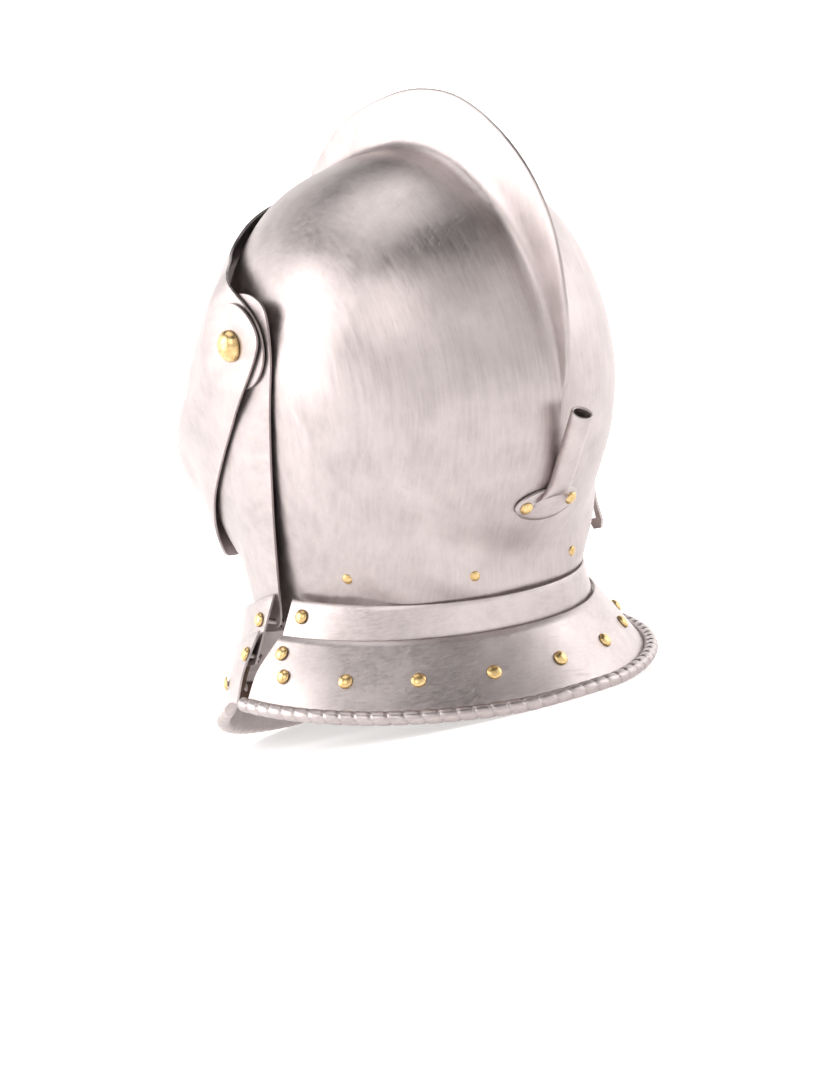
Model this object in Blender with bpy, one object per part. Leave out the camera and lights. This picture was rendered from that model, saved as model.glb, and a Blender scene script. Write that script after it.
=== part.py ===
"""A close helmet with a tall comb: skull, visor, ventail and bevor on one pair of pivots, with articulated
collar lames and gorget plates. Metres, +Z up, the face looks along -Y, the floor is z = 0."""

import math

import bmesh
import bpy
import mathutils
import numpy as np
from mathutils.bvhtree import BVHTree

# ---- driving dimensions (metres, degrees) ----
SHEET = 0.0012
GAP = 0.0003
PIVOT_Y = 0.0210
PIVOT_Z = 0.2155
SKULL_CENTRE = (0.0450, 0.1905)
SKULL_HALF_WIDTH = 0.0940
BEVOR_HALF_WIDTH = 0.0970
VISOR_HALF_WIDTH = 0.0995
VENTAIL_HALF_WIDTH = 0.1020
VISOR_INSETS = (0.0078, 0.0040)
COMB_SLOT_WIDTH = 0.0090
REAR_TILT = 12.0
BEAD_RADIUS = 0.0038
REST_FLAT = 0.0004
CENTRE_SHIFT = -0.00335
RIVET_HEAD_RADIUS = 0.0040
SHANK_RADIUS = 0.0014
HOLE_RADIUS = 0.0018
BAND_THICKNESS = 0.0018
BAND_GAP = 0.0005
LINER_THICKNESS = 0.0080

# Mid-plane profile of the skull without its comb: (y, z), from the brow over the top to the nape and round.
SKULL_PROFILE = [
    (-0.0750, 0.2340), (-0.0530, 0.2700), (-0.0160, 0.2955), (0.0240, 0.3022), (0.0690, 0.2995),
    (0.1040, 0.2855), (0.1298, 0.2618), (0.1455, 0.2354), (0.1545, 0.2030), (0.1555, 0.1721),
    (0.1510, 0.1472), (0.1365, 0.1182), (0.1180, 0.0960), (0.1010, 0.0770), (0.0952, 0.0600),
    (0.0870, 0.0483), (0.0700, 0.0270), (0.0450, 0.0130), (0.0000, -0.0150), (-0.0500, -0.0220),
    (-0.0950, 0.0300), (-0.1050, 0.1000), (-0.1030, 0.1500), (-0.0930, 0.1950),
]
# Comb height above that profile against the angle about SKULL_CENTRE, 0 forward and 90 up.
COMB_ANGLES = [47.0, 54.0, 64.5, 80.9, 95.3, 109.6, 122.6, 136.1, 147.7, 159.3, 173.9, 187.4, 194.7, 201.0]
COMB_HEIGHTS = [
    0.0, 0.0030, 0.0098, 0.0222, 0.0265, 0.0312, 0.0338, 0.0332, 0.0312, 0.0275, 0.0178, 0.0095, 0.0050,
    0.0,
]

# Face surface, as distances from the pivot axis in the mid-plane, 0 forward and 90 up.
FACE_ANGLES = [
    -180.0, -140.0, -100.0, -80.0, -62.0, -50.0, -40.0, -30.0, -20.0, -12.0, -4.0, 8.0, 22.0, 38.0,
    55.0, 80.0, 120.0, 180.0,
]
FACE_REACH = [
    0.2300, 0.2500, 0.2600, 0.2500, 0.2400, 0.2250, 0.2080, 0.1940, 0.2004, 0.1766, 0.1555, 0.1314,
    0.1131, 0.0997, 0.0965, 0.0980, 0.1500, 0.2300,
]
BEVOR_ANGLES = [
    -180.0, -140.0, -100.0, -80.0, -66.0, -52.0, -45.0, -35.0, -28.0, -12.0, 10.0, 40.0, 90.0, 180.0,
]
BEVOR_REACH = [
    0.2400, 0.2850, 0.3100, 0.2950, 0.2450, 0.1870, 0.1860, 0.1860, 0.1870, 0.1700, 0.1500, 0.1500,
    0.1800, 0.2200,
]
BEVOR_POWERS = [2.3, 2.3, 2.3, 2.3, 2.25, 2.15, 2.05, 1.9, 1.75, 1.75, 1.75, 1.9, 2.3, 2.3]

# Side outlines (y, z) that trim the shells.
SKULL_OUTLINE = [
    (-0.0480, 0.3100), (-0.0480, 0.2680), (-0.0330, 0.2480), (-0.0150, 0.2300), (-0.0080, 0.2050),
    (-0.0100, 0.1600), (-0.0180, 0.1150), (-0.0260, 0.0820), (-0.0200, 0.0720), (0.0000, 0.0680),
    (0.0400, 0.0580), (0.0900, 0.0485), (0.1400, 0.0400), (0.2200, 0.0400), (0.2200, 0.3700),
    (-0.0480, 0.3700),
]
VISOR_OUTLINE = [
    (-0.0310, 0.2970), (-0.0210, 0.2870), (-0.0150, 0.2790), (-0.0120, 0.2710), (-0.0020, 0.2640),
    (0.0150, 0.2540), (0.0270, 0.2440), (0.0360, 0.2350), (0.0430, 0.2260), (0.0460, 0.2155),
    (0.0440, 0.2050), (0.0370, 0.1965), (0.0260, 0.1915), (0.0140, 0.1920), (0.0030, 0.1960),
    (-0.0200, 0.2010), (-0.0600, 0.1830), (-0.1000, 0.1670), (-0.1400, 0.1500), (-0.2200, 0.1180),
    (-0.2200, 0.3900),
]
VENTAIL_OUTLINE = [
    (0.0450, 0.2120), (0.0452, 0.2200), (0.0412, 0.2279), (0.0359, 0.2336), (0.0279, 0.2373),
    (0.0175, 0.2373),
    (0.0057, 0.2328), (-0.0044, 0.2249), (-0.0205, 0.2147), (-0.0407, 0.2040), (-0.0645, 0.1935),
    (-0.0913, 0.1835), (-0.1300, 0.1690), (-0.2300, 0.1300), (-0.2300, 0.1030), (-0.1300, 0.1040),
    (-0.1080, 0.1060),
    (-0.0960, 0.1120), (-0.0860, 0.1220), (-0.0578, 0.1391), (-0.0307, 0.1542), (-0.0049, 0.1710),
    (0.0183, 0.1882), (0.0352, 0.2016),
]
BEVOR_OUTLINE = [
    (0.0510, 0.2280), (0.0450, 0.2360), (0.0330, 0.2410), (0.0180, 0.2410), (0.0030, 0.2350),
    (-0.0080, 0.2240),
    (-0.0180, 0.2050), (-0.0600, 0.1640), (-0.1000, 0.1380), (-0.1400, 0.1170), (-0.2200, 0.0900),
    (-0.2200, 0.0300),
    (-0.1300, 0.0480), (-0.0950, 0.0560), (-0.0400, 0.0640), (-0.0190, 0.0640), (-0.0120, 0.0680),
    (-0.0070, 0.0760), (0.0040, 0.1010), (0.0210, 0.1430), (0.0370, 0.1840), (0.0470, 0.2050),
]

# Rings of the rear lames before REAR_TILT: (half width, half length, centre y, z), relative to TILT_PIVOT.
TILT_PIVOT = (0.0295, 0.1950)
REAR_COLLAR_TOP = (0.0862, 0.1040, -0.0088, -0.1195)
REAR_COLLAR_LOW = (0.1015, 0.1185, -0.0240, -0.1480)
REAR_PLATE_TOP = (0.0985, 0.1180, -0.0204, -0.1368)
REAR_PLATE_MID = (0.1105, 0.1290, -0.0181, -0.1545)
REAR_BEAD = (0.1205, 0.1305, -0.0042, -0.1698)
# Rings of the front lames: (half width, front length, centre y, side z, front z).
FRONT_COLLAR_TOP = (0.0908, 0.0908, -0.0100, 0.0825, 0.0720)
FRONT_COLLAR_LOW = (0.1015, 0.0960, -0.0155, 0.0495, 0.0380)
FRONT_PLATE_TOP = (0.0985, 0.0965, -0.0130, 0.0660, 0.0500)
FRONT_PLATE_MID = (0.1085, 0.1000, -0.0160, 0.0480, 0.0270)
FRONT_BEAD = (0.1165, 0.1010, -0.0176, 0.0326, 0.0030)

REAR_COLLAR_HINGE = (0.0120, 0.0690)
REAR_PLATE_HINGE = (0.0060, 0.0525)
FRONT_COLLAR_HINGE = (-0.0200, 0.0710)
FRONT_PLATE_HINGE = (-0.0265, 0.0545)
SKULL_RIVET_RING = (0.0910, 0.0966, -0.0060, -0.1060)
PLUME_FOOT = (0.1217, 0.1030)
FOOT_GAP = 0.0006
PLUME_FOOT_SIZE = (0.0410, 0.0200)
PLUME_TIP = (0.1650, 0.1430)
PLUME_RADIUS = 0.0058
PLUME_BORE = 0.0044
PIVOT_SHANK_END = 0.0838
PIVOT_NUT = (0.0846, 0.0872)
SIGHT_Z = 0.2440
SIGHT_INNER = 0.0090
SIGHT_OUTER = 0.0560
COMB_SLOT_LOW = 33.0
PEG_SPOT = (-0.0450, 0.2450)
LATCH_PIVOT = (0.0450, 0.1260)
LATCH_PLANE = 0.0950
LATCH_STUD = (0.0050, 0.1240)
CHIN_STRAP = (0.0050, 0.1300, 0.0820, 0.0800)
LINER_OUTLINE = [
    (-0.0350, 0.3400), (-0.0350, 0.2750), (-0.0100, 0.2520), (0.0150, 0.2400), (0.0350, 0.2300),
    (0.0400, 0.2100),
    (0.0400, 0.1750), (0.0500, 0.1480), (0.0900, 0.1300), (0.2000, 0.1230), (0.2000, 0.3400),
]

COLOURS = {
    "steel": ((0.62, 0.58, 0.57), 0.34, 1.0),
    "brass": ((0.80, 0.60, 0.30), 0.28, 1.0),
    "leather": ((0.16, 0.09, 0.05), 0.70, 0.0),
    "linen": ((0.62, 0.55, 0.43), 0.90, 0.0),
}


def clear_scene():
    for old in list(bpy.data.objects):
        bpy.data.objects.remove(old, do_unlink=True)


def material(name, kind):
    colour, roughness, metallic = COLOURS[kind]
    made = bpy.data.materials.new(name)
    made.use_nodes = True
    shader = made.node_tree.nodes["Principled BSDF"]
    shader.inputs["Base Color"].default_value = (*colour, 1.0)
    shader.inputs["Roughness"].default_value = roughness
    shader.inputs["Metallic"].default_value = metallic
    return made


def add_object(name, points, faces, kind=None, origin=(0.0, 0.0, 0.0), smooth=True):
    """A mesh object whose origin sits at the given world point; kind None makes a hidden cutter."""
    mesh = bpy.data.meshes.new(name)
    local = np.asarray(points, float) - np.asarray(origin, float)
    mesh.from_pydata([tuple(p) for p in local], [], [tuple(int(i) for i in f) for f in faces])
    work = bmesh.new()
    work.from_mesh(mesh)
    bmesh.ops.recalc_face_normals(work, faces=work.faces)
    work.to_mesh(mesh)
    work.free()
    made = bpy.data.objects.new(name, mesh)
    made.location = origin
    bpy.context.scene.collection.objects.link(made)
    if kind is None:
        made.hide_render = True
        made.display_type = "WIRE"
        return made
    mesh.materials.append(material(name, kind))
    if smooth:
        mesh.shade_smooth()
    return made


def boolean(target, cutter, operation):
    step = target.modifiers.new(cutter.name, "BOOLEAN")
    step.operation = operation
    step.solver = "EXACT"
    step.object = cutter


def spline(xs, ys, x):
    """Monotone cubic interpolation of ys over xs, flat beyond the ends."""
    xs = np.asarray(xs, float)
    ys = np.asarray(ys, float)
    h = np.diff(xs)
    d = np.diff(ys) / h
    m = np.zeros_like(ys)
    m[1:-1] = np.where(d[:-1] * d[1:] > 0, 2 * d[:-1] * d[1:] / (d[:-1] + d[1:] + 1e-30), 0.0)
    m[0] = 0.0
    m[-1] = 0.0
    x = np.clip(x, xs[0], xs[-1])
    i = np.clip(np.searchsorted(xs, x, side="right") - 1, 0, len(h) - 1)
    t = (x - xs[i]) / h[i]
    a = ys[i] * (1 + 2 * t) * (1 - t) ** 2 + h[i] * m[i] * t * (1 - t) ** 2
    b = ys[i + 1] * t**2 * (3 - 2 * t) + h[i] * m[i + 1] * t**2 * (t - 1)
    return a + b


def closed_curve(points, count):
    """Points evenly spread along a closed Catmull-Rom curve."""
    p = np.asarray(points, float)
    fine = []
    for i in range(len(p)):
        a, b, c, d = p[i - 1], p[i], p[(i + 1) % len(p)], p[(i + 2) % len(p)]
        for t in np.linspace(0.0, 1.0, 12, endpoint=False):
            bend = 2 * a - 5 * b + 4 * c - d
            twist = 3 * b - a - 3 * c + d
            fine.append(0.5 * (2 * b + (c - a) * t + bend * t**2 + twist * t**3))
    fine = np.array(fine + [fine[0]])
    run = np.concatenate([[0.0], np.cumsum(np.linalg.norm(np.diff(fine, axis=0), axis=1))])
    at = np.linspace(0.0, run[-1], count, endpoint=False)
    return np.stack([np.interp(at, run, fine[:, 0]), np.interp(at, run, fine[:, 1])], 1)


def egg(rows):
    """A closed surface from rows that all start at one pole and end at the other."""
    rows = np.asarray(rows)
    count, wide = rows.shape[0], rows.shape[1] - 2
    points = [rows[0, 0], rows[0, -1]]
    points += [p for row in rows for p in row[1:-1]]
    faces = []
    for i in range(count):
        a = 2 + i * wide
        b = 2 + ((i + 1) % count) * wide
        faces.append((0, a, b))
        faces += [(a + j, a + j + 1, b + j + 1, b + j) for j in range(wide - 1)]
        faces.append((a + wide - 1, 1, b + wide - 1))
    return points, faces


def skull_rows(inset, count, comb, columns):
    """Rows of the skull surface, moved inwards by inset."""
    centre = np.array(SKULL_CENTRE)
    profile = closed_curve(SKULL_PROFILE, count)
    rows = []
    for point in profile:
        reach = np.linalg.norm(point - centre)
        away = (point - centre) / reach
        angle = math.degrees(math.atan2(away[1], -away[0])) % 360.0
        below = max(0.0, abs((angle - 90.0 + 180.0) % 360.0 - 180.0) - 110.0)
        power = 2.0 + 0.10 * min(1.0, below / 50.0)
        half = SKULL_HALF_WIDTH - inset
        row = []
        for side in columns:
            x = abs(side) * half
            flat = (1.0 - abs(side) ** power) ** (1.0 / power)
            rise = comb * comb_height(angle) * comb_share(x)
            out = (reach - inset) * flat + rise
            row.append((math.copysign(x, side), centre[0] + away[0] * out, centre[1] + away[1] * out))
        rows.append(row)
    return rows


def comb_height(angle):
    if not COMB_ANGLES[0] < angle < COMB_ANGLES[-1]:
        return 0.0
    return float(spline(COMB_ANGLES, COMB_HEIGHTS, angle))


def comb_share(x):
    """Share of the comb's height at a distance x from the mid-plane: a flat ridge, steep sides and a fillet."""
    aside = [0.0, 0.0009, 0.0014, 0.0019, 0.0026, 0.0042, 0.0080]
    share = [1.0, 0.985, 0.93, 0.30, 0.12, 0.035, 0.0]
    return float(np.interp(x, aside, share))


def face_power(angle):
    return 1.75


def face_point(angle, share, half, reach, power):
    """A point of a shell about the pivot axis: a round cap near the pivot that blends into the plate."""
    r = reach * share
    plate = half * (1.0 - share**power) ** (1.0 / power)
    cap = half * (1.0 - min(1.0, r / 0.22) ** 2.1) ** (1.0 / 2.1)
    w = min(1.0, max(0.0, (r - 0.022) / 0.028))
    w = w * w * (3.0 - 2.0 * w)
    x = cap * (1.0 - w) + plate * w
    t = math.radians(angle)
    return x, PIVOT_Y - r * math.cos(t), PIVOT_Z + r * math.sin(t)


def shell_rows(half, reach_at, power_at, angles, shares):
    rows = []
    for angle in angles:
        right = [face_point(angle, s, half, reach_at(angle, s), power_at(angle)) for s in shares]
        left = [(-x, y, z) for x, y, z in reversed(right[:-1])]
        rows.append([(x, y, z) for x, y, z in right] + left)
    return rows


def prism(name, outline, half=0.16):
    """A side outline extruded right across the helmet, to keep what is inside it."""
    count = len(outline)
    points = [(-half, y, z) for y, z in outline] + [(half, y, z) for y, z in outline]
    faces = [tuple(range(count)), tuple(range(2 * count - 1, count - 1, -1))]
    faces += [(i, (i + 1) % count, count + (i + 1) % count, count + i) for i in range(count)]
    return add_object(name, points, faces)


def rounded(outline, steps=3):
    """The outline with every corner replaced by a short curve through its neighbours."""
    p = np.asarray(outline, float)
    made = []
    for i in range(len(p)):
        a, b, c = p[i - 1], p[i], p[(i + 1) % len(p)]
        into = b + (a - b) * min(0.5, 0.010 / max(1e-6, np.linalg.norm(a - b)))
        out = b + (c - b) * min(0.5, 0.010 / max(1e-6, np.linalg.norm(c - b)))
        for t in np.linspace(0.0, 1.0, steps):
            made.append(into * (1 - t) ** 2 + 2 * b * t * (1 - t) + out * t**2)
    kept = [made[0]]
    for q in made[1:]:
        if np.linalg.norm(q - kept[-1]) > 0.0012:
            kept.append(q)
    return [tuple(q) for q in kept]


def lathe(profile, segments):
    """A solid of revolution about local Z: profile runs from the top centre to the bottom centre."""
    points = [(0.0, 0.0, profile[0][1])]
    faces = []
    rings = profile[1:-1]
    for r, z in rings:
        for k in range(segments):
            a = 2 * math.pi * k / segments
            points.append((r * math.cos(a), r * math.sin(a), z))
    points.append((0.0, 0.0, profile[-1][1]))
    last = len(points) - 1
    for k in range(segments):
        n = (k + 1) % segments
        faces.append((0, 1 + k, 1 + n))
        for i in range(len(rings) - 1):
            a = 1 + i * segments
            faces.append((a + k, a + segments + k, a + segments + n, a + n))
        a = 1 + (len(rings) - 1) * segments
        faces.append((a + k, last, a + n))
    return points, faces


def placed(points, at, axis):
    """Points turned so that local Z lies along the axis, and moved to the point."""
    turn = mathutils.Vector((0.0, 0.0, 1.0)).rotation_difference(mathutils.Vector(axis)).to_matrix()
    return [tuple(turn @ mathutils.Vector(p) + mathutils.Vector(at)) for p in points]


def rivet(name, at, axis, grip, head=RIVET_HEAD_RADIUS, kind="brass", segments=8):
    """A domed head outside, a shank through the hole and a clenched end inside. at is on the outer surface."""
    base = GAP
    low = -grip - GAP
    profile = [
        (0.0, base + head * 0.56), (head * 0.55, base + head * 0.46), (head * 0.93, base + head * 0.16),
        (head, base), (SHANK_RADIUS, base), (SHANK_RADIUS, low), (SHANK_RADIUS * 1.8, low),
        (SHANK_RADIUS * 1.6, low - 0.0007), (0.0, low - 0.0009),
    ]
    points, faces = lathe(profile, segments)
    return add_object(name, placed(points, at, axis), faces, kind)


def drill(name, spots, reach=0.008, radius=HOLE_RADIUS):
    """One cutter made of short rods, one through each spot."""
    points, faces = [], []
    for at, axis in spots:
        rod, rod_faces = lathe([(0.0, reach), (radius, reach), (radius, -reach), (0.0, -reach)], 8)
        start = len(points)
        points += placed(rod, at, axis)
        faces += [tuple(i + start for i in f) for f in rod_faces]
    return add_object(name, points, faces)


def tree_of(points, faces):
    return BVHTree.FromPolygons([mathutils.Vector(p) for p in points], [tuple(f) for f in faces])


def spot_on(tree, y, z, side):
    """Where a line along X through (y, z) first meets the surface from outside, and the outward normal there."""
    at, normal, _, _ = tree.ray_cast(mathutils.Vector((side * 0.3, y, z)), mathutils.Vector((-side, 0.0, 0.0)))
    if normal.x * side < 0:
        normal = -normal
    return at, normal


def spot_towards(tree, centre, target):
    """Where a line from outside through target towards centre first meets the surface, and the normal there."""
    way = (mathutils.Vector(centre) - mathutils.Vector(target)).normalized()
    start = mathutils.Vector(target) - way * 0.1
    at, normal, _, _ = tree.ray_cast(start, way)
    if normal.dot(way) > 0:
        normal = -normal
    return at, normal


def rear_point(ring, angle):
    """A point of a rear ring, tilted with the rear lames. The angle is 0 at the back and 90 at the left side."""
    wide, long, centre, z = ring
    t = math.radians(angle)
    x = wide * math.sin(t)
    y = centre + long * math.cos(t)
    tilt = math.radians(REAR_TILT)
    return (
        x,
        TILT_PIVOT[0] + y * math.cos(tilt) + z * math.sin(tilt),
        TILT_PIVOT[1] - y * math.sin(tilt) + z * math.cos(tilt),
    )


def front_point(ring, angle):
    """A point of a front ring. The angle is 0 at the front and 90 at the left side."""
    wide, long, centre, side_z, front_z = ring
    t = math.radians(angle)
    share = max(0.0, math.cos(t))
    y = centre - long * math.cos(t)
    return wide * math.sin(t), y, side_z + (front_z - side_z) * share


def on_floor(point, centre_height):
    x, y, z = point
    return x, y, max(z, centre_height)


def sweep(stations):
    """A solid swept through stations: each gives the closed ring of points of one section."""
    count = len(stations[0])
    points = [p for ring in stations for p in ring]
    faces = [tuple(range(count - 1, -1, -1))]
    for i in range(len(stations) - 1):
        a, b = i * count, (i + 1) * count
        faces += [(a + j, a + (j + 1) % count, b + (j + 1) % count, b + j) for j in range(count)]
    start = (len(stations) - 1) * count
    faces.append(tuple(range(start, start + count)))
    return points, faces


def outward(along, tangent, at):
    normal = along.cross(tangent).normalized()
    return normal if normal.x * at.x + normal.y * at.y > 0 else -normal


def plate_station(path, tangent, thickness, bead, span, shift):
    """The section of a plate whose middle line is path, from its top edge down, with an optional rolled bead."""
    path = [mathutils.Vector(p) for p in path]
    tangent = mathutils.Vector(tangent).normalized()
    if bead:
        along = (path[-1] - path[-2]).normalized()
        normal = outward(along, tangent, path[-1])
        centre = path[-1]
        path[-1] = centre - normal * (bead - SHEET / 2)
    if span != (0.0, 1.0):
        run = [0.0]
        for a, b in zip(path, path[1:]):
            run.append(run[-1] + (b - a).length)
        picks = [span[0] * run[-1], min(run[1], span[1] * run[-1] * 0.9), span[1] * run[-1]]
        tracks = [[p[i] for p in path] for i in range(3)]
        path = [mathutils.Vector([float(np.interp(s, run, t)) for t in tracks]) for s in picks]
    outer, inner = [], []
    for i, p in enumerate(path):
        along = (path[min(i + 1, len(path) - 1)] - path[max(i - 1, 0)]).normalized()
        side = outward(along, tangent, p)
        outer.append(p + side * (shift + thickness / 2))
        inner.append(p + side * (shift - thickness / 2))
    if not bead or span != (0.0, 1.0):
        return outer + inner[::-1]
    along = (path[-1] - path[-2]).normalized()
    normal = outward(along, tangent, centre)
    start = -math.asin((bead - thickness) / bead)
    ring = []
    for k in range(8):
        a = start + (1.5 * math.pi - start) * k / 7
        ring.append(centre - along * math.cos(a) * bead + normal * math.sin(a) * bead)
    return outer[:-1] + ring + inner[:-1][::-1]


def plate(rings, ends, point_at, steps, bead=0.0, thickness=SHEET, span=(0.0, 1.0), shift=0.0):
    """A curved plate through rings of points; ends gives each ring's angle at the plate's left end."""
    stations = []
    for k in range(steps + 1):
        q = -1.0 + 2.0 * k / steps
        path = [point_at(ring, end * q) for ring, end in zip(rings, ends)]
        ahead = point_at(rings[0], ends[0] * (q + 0.01))
        behind = point_at(rings[0], ends[0] * (q - 0.01))
        if bead:
            path[-1] = on_floor(path[-1], BEAD_RADIUS - REST_FLAT)
        tangent = [ahead[i] - behind[i] for i in range(3)]
        stations.append(plate_station(path, tangent, thickness, bead, span, shift))
    return sweep(stations)


clear_scene()

# ---- surfaces the pieces are cut from ----
SIDES = [-1.0, -0.985, -0.94, -0.86, -0.74, -0.60, -0.45, -0.30, -0.18]
COMB_SIDES = [-0.0085, -0.0046, -0.0026, -0.0019, -0.0014, 0.0, 0.0014, 0.0019, 0.0026, 0.0046, 0.0085]
OUTER_COLUMNS = SIDES + [x / SKULL_HALF_WIDTH for x in COMB_SIDES] + [-s for s in reversed(SIDES)]
INNER_COLUMNS = SIDES + [-0.08, 0.08] + [-s for s in reversed(SIDES)]
SHARES = [0.0, 0.10, 0.22, 0.34, 0.47, 0.60, 0.72, 0.83, 0.92, 0.975, 1.0]
NOSE_STEPS = [-26.25, -19.5, -11.25]
FACE_STEPS = sorted([-180.0 + 7.5 * k for k in range(48)] + NOSE_STEPS)


def face_reach(angle, inset):
    return float(spline(FACE_ANGLES, FACE_REACH, angle)) - inset


def ventail_reach(angle, share):
    return face_reach(angle, 0.0)


def ventail_edge_angle(r):
    """Angle of the ventail's upper edge at a distance r from the pivot."""
    return float(np.interp(r, [0.030, 0.0415, 0.0627, 0.0883, 0.1164, 0.19], [12.0, -1.0, -10.6, -14.4, -16.0, -18.5]))


def visor_reach(angle, share):
    """The visor follows the face down to the ventail's edge, then runs straight on beneath it."""
    own = face_reach(angle, 0.0)
    edge = ventail_edge_angle(own * share)
    if -70.0 < angle < edge:
        own = face_reach(edge, 0.0)
    return own - float(np.interp(angle, [-20.0, -6.0], VISOR_INSETS))


def bevor_reach(angle, share):
    return float(spline(BEVOR_ANGLES, BEVOR_REACH, angle))


def bevor_power(angle):
    return float(spline(BEVOR_ANGLES, BEVOR_POWERS, angle))


def thinner(reach):
    return lambda angle, share: reach(angle, share) - SHEET * 1.25


def shell(name, half, reach, power, outline, kind="steel"):
    """An egg about the pivot axis, hollowed to sheet thickness and trimmed to a side outline."""
    outer = egg(shell_rows(half, reach, power, FACE_STEPS, SHARES))
    inner = egg(shell_rows(half - SHEET, thinner(reach), power, FACE_STEPS, SHARES))
    made = add_object(name, *outer, kind, origin=(0.0, PIVOT_Y, PIVOT_Z))
    boolean(made, add_object("cut_inside_" + name, *inner), "DIFFERENCE")
    boolean(made, prism("cut_outline_" + name, rounded(outline)), "INTERSECT")
    return made, tree_of(*outer)


# ---- skull ----
skull_outer = egg(skull_rows(0.0, 48, 1.0, OUTER_COLUMNS))
skull_inner = egg(skull_rows(SHEET, 48, 0.0, INNER_COLUMNS))
skull = add_object("skull", *skull_outer, "steel")
boolean(skull, add_object("cut_inside_skull", *skull_inner), "DIFFERENCE")
boolean(skull, prism("cut_outline_skull", rounded(SKULL_OUTLINE)), "INTERSECT")
skull_tree = tree_of(*skull_outer)
plain_tree = tree_of(*egg(skull_rows(0.0, 48, 0.0, INNER_COLUMNS)))

# ---- face plates ----
ventail, ventail_tree = shell("ventail", VENTAIL_HALF_WIDTH, ventail_reach, face_power, VENTAIL_OUTLINE)
visor, visor_tree = shell("visor", VISOR_HALF_WIDTH, visor_reach, face_power, VISOR_OUTLINE)
bevor, bevor_tree = shell("bevor", BEVOR_HALF_WIDTH, bevor_reach, bevor_power, BEVOR_OUTLINE)

# Sights: one slit each side of a bridge; the comb slot opens the visor's brow edge for the comb.
for side, word in ((1, "left"), (-1, "right")):
    corners = []
    for x in (side * SIGHT_INNER, side * SIGHT_OUTER):
        rise = 0.0035 if abs(x) == SIGHT_INNER else 0.0020
        for y in (-0.20, -0.03):
            lift = (y + 0.115) * 0.25
            corners += [(x, y, SIGHT_Z - rise - lift), (x, y, SIGHT_Z + rise - lift)]
    faces = [(0, 1, 3, 2), (4, 6, 7, 5), (0, 2, 6, 4), (1, 5, 7, 3), (0, 4, 5, 1), (2, 3, 7, 6)]
    boolean(visor, add_object("cut_sight_" + word, corners, faces), "DIFFERENCE")

slot_points, slot_faces = [], []
half = COMB_SLOT_WIDTH / 2
for x in (-half, half):
    for angle, r in ((COMB_SLOT_LOW, 0.07), (COMB_SLOT_LOW, 0.14), (100.0, 0.14), (100.0, 0.07)):
        t = math.radians(angle)
        slot_points.append((x, PIVOT_Y - r * math.cos(t), PIVOT_Z + r * math.sin(t)))
slot_faces = [(3, 2, 1, 0), (4, 5, 6, 7), (0, 1, 5, 4), (1, 2, 6, 5), (2, 3, 7, 6), (3, 0, 4, 7)]
boolean(visor, add_object("cut_comb_slot", slot_points, slot_faces), "DIFFERENCE")

# Breaths: a staggered field of holes low on the right side of the ventail.
breath_spots = []
for row in range(3):
    for k in range(4):
        angle = -24.5 - 4.6 * row
        share = 0.50 + 0.085 * k + (0.04 if row == 1 else 0.0)
        x, y, z = face_point(angle, share, VENTAIL_HALF_WIDTH, ventail_reach(angle, share), 1.75)
        at, normal = spot_towards(ventail_tree, (0.0, PIVOT_Y, PIVOT_Z - 0.02), (-x, y, z))
        breath_spots.append((at, normal))
boolean(ventail, drill("cut_breaths", breath_spots, 0.006, 0.0025), "DIFFERENCE")

# ---- lames ----
REAR_COLLAR = ([REAR_COLLAR_TOP, REAR_COLLAR_LOW], [86.0, 79.0])
REAR_PLATE = ([REAR_PLATE_TOP, REAR_PLATE_MID, REAR_BEAD], [80.0, 85.0, 91.5])
FRONT_COLLAR = ([FRONT_COLLAR_TOP, FRONT_COLLAR_LOW], [92.0, 86.0])
FRONT_PLATE = ([FRONT_PLATE_TOP, FRONT_PLATE_MID, FRONT_BEAD], [88.0, 84.0, 80.0])
rear_hinge = (0.0, *REAR_COLLAR_HINGE)
plate_hinge = (0.0, *REAR_PLATE_HINGE)
front_hinge = (0.0, *FRONT_COLLAR_HINGE)
front_plate_hinge = (0.0, *FRONT_PLATE_HINGE)

rear_collar_mesh = plate(*REAR_COLLAR, rear_point, 28)
rear_plate_mesh = plate(*REAR_PLATE, rear_point, 32, BEAD_RADIUS)
front_collar_mesh = plate(*FRONT_COLLAR, front_point, 28)
front_plate_mesh = plate(*FRONT_PLATE, front_point, 32, BEAD_RADIUS)
rear_collar = add_object("rear_collar_lame", *rear_collar_mesh, "steel", origin=rear_hinge)
rear_plate = add_object("rear_gorget_plate", *rear_plate_mesh, "steel", origin=plate_hinge)
front_collar = add_object("front_collar_lame", *front_collar_mesh, "steel", origin=front_hinge)
front_plate = add_object("front_gorget_plate", *front_plate_mesh, "steel", origin=front_plate_hinge)

# The beads bear on the floor on narrow flats.
slab = [(x, y, z) for x in (-0.15, 0.15) for y in (-0.20, 0.20) for z in (-0.02, 0.0)]
slab_faces = [(0, 1, 3, 2), (4, 6, 7, 5), (0, 4, 5, 1), (2, 3, 7, 6), (0, 2, 6, 4), (1, 5, 7, 3)]
floor_cut = add_object("cut_floor", slab, slab_faces)
boolean(rear_plate, floor_cut, "DIFFERENCE")
boolean(front_plate, floor_cut, "DIFFERENCE")

BAND_SHIFT = -(SHEET + BAND_THICKNESS) / 2 - BAND_GAP
rear_band_mesh = plate(*REAR_PLATE, rear_point, 32, BEAD_RADIUS, BAND_THICKNESS, (0.41, 0.70), BAND_SHIFT)
front_band_mesh = plate(*FRONT_PLATE, front_point, 32, BEAD_RADIUS, BAND_THICKNESS, (0.41, 0.70), BAND_SHIFT)
rear_band = add_object("rear_lining_band", *rear_band_mesh, "leather", origin=plate_hinge)
front_band = add_object("front_lining_band", *front_band_mesh, "leather", origin=front_plate_hinge)


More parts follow.
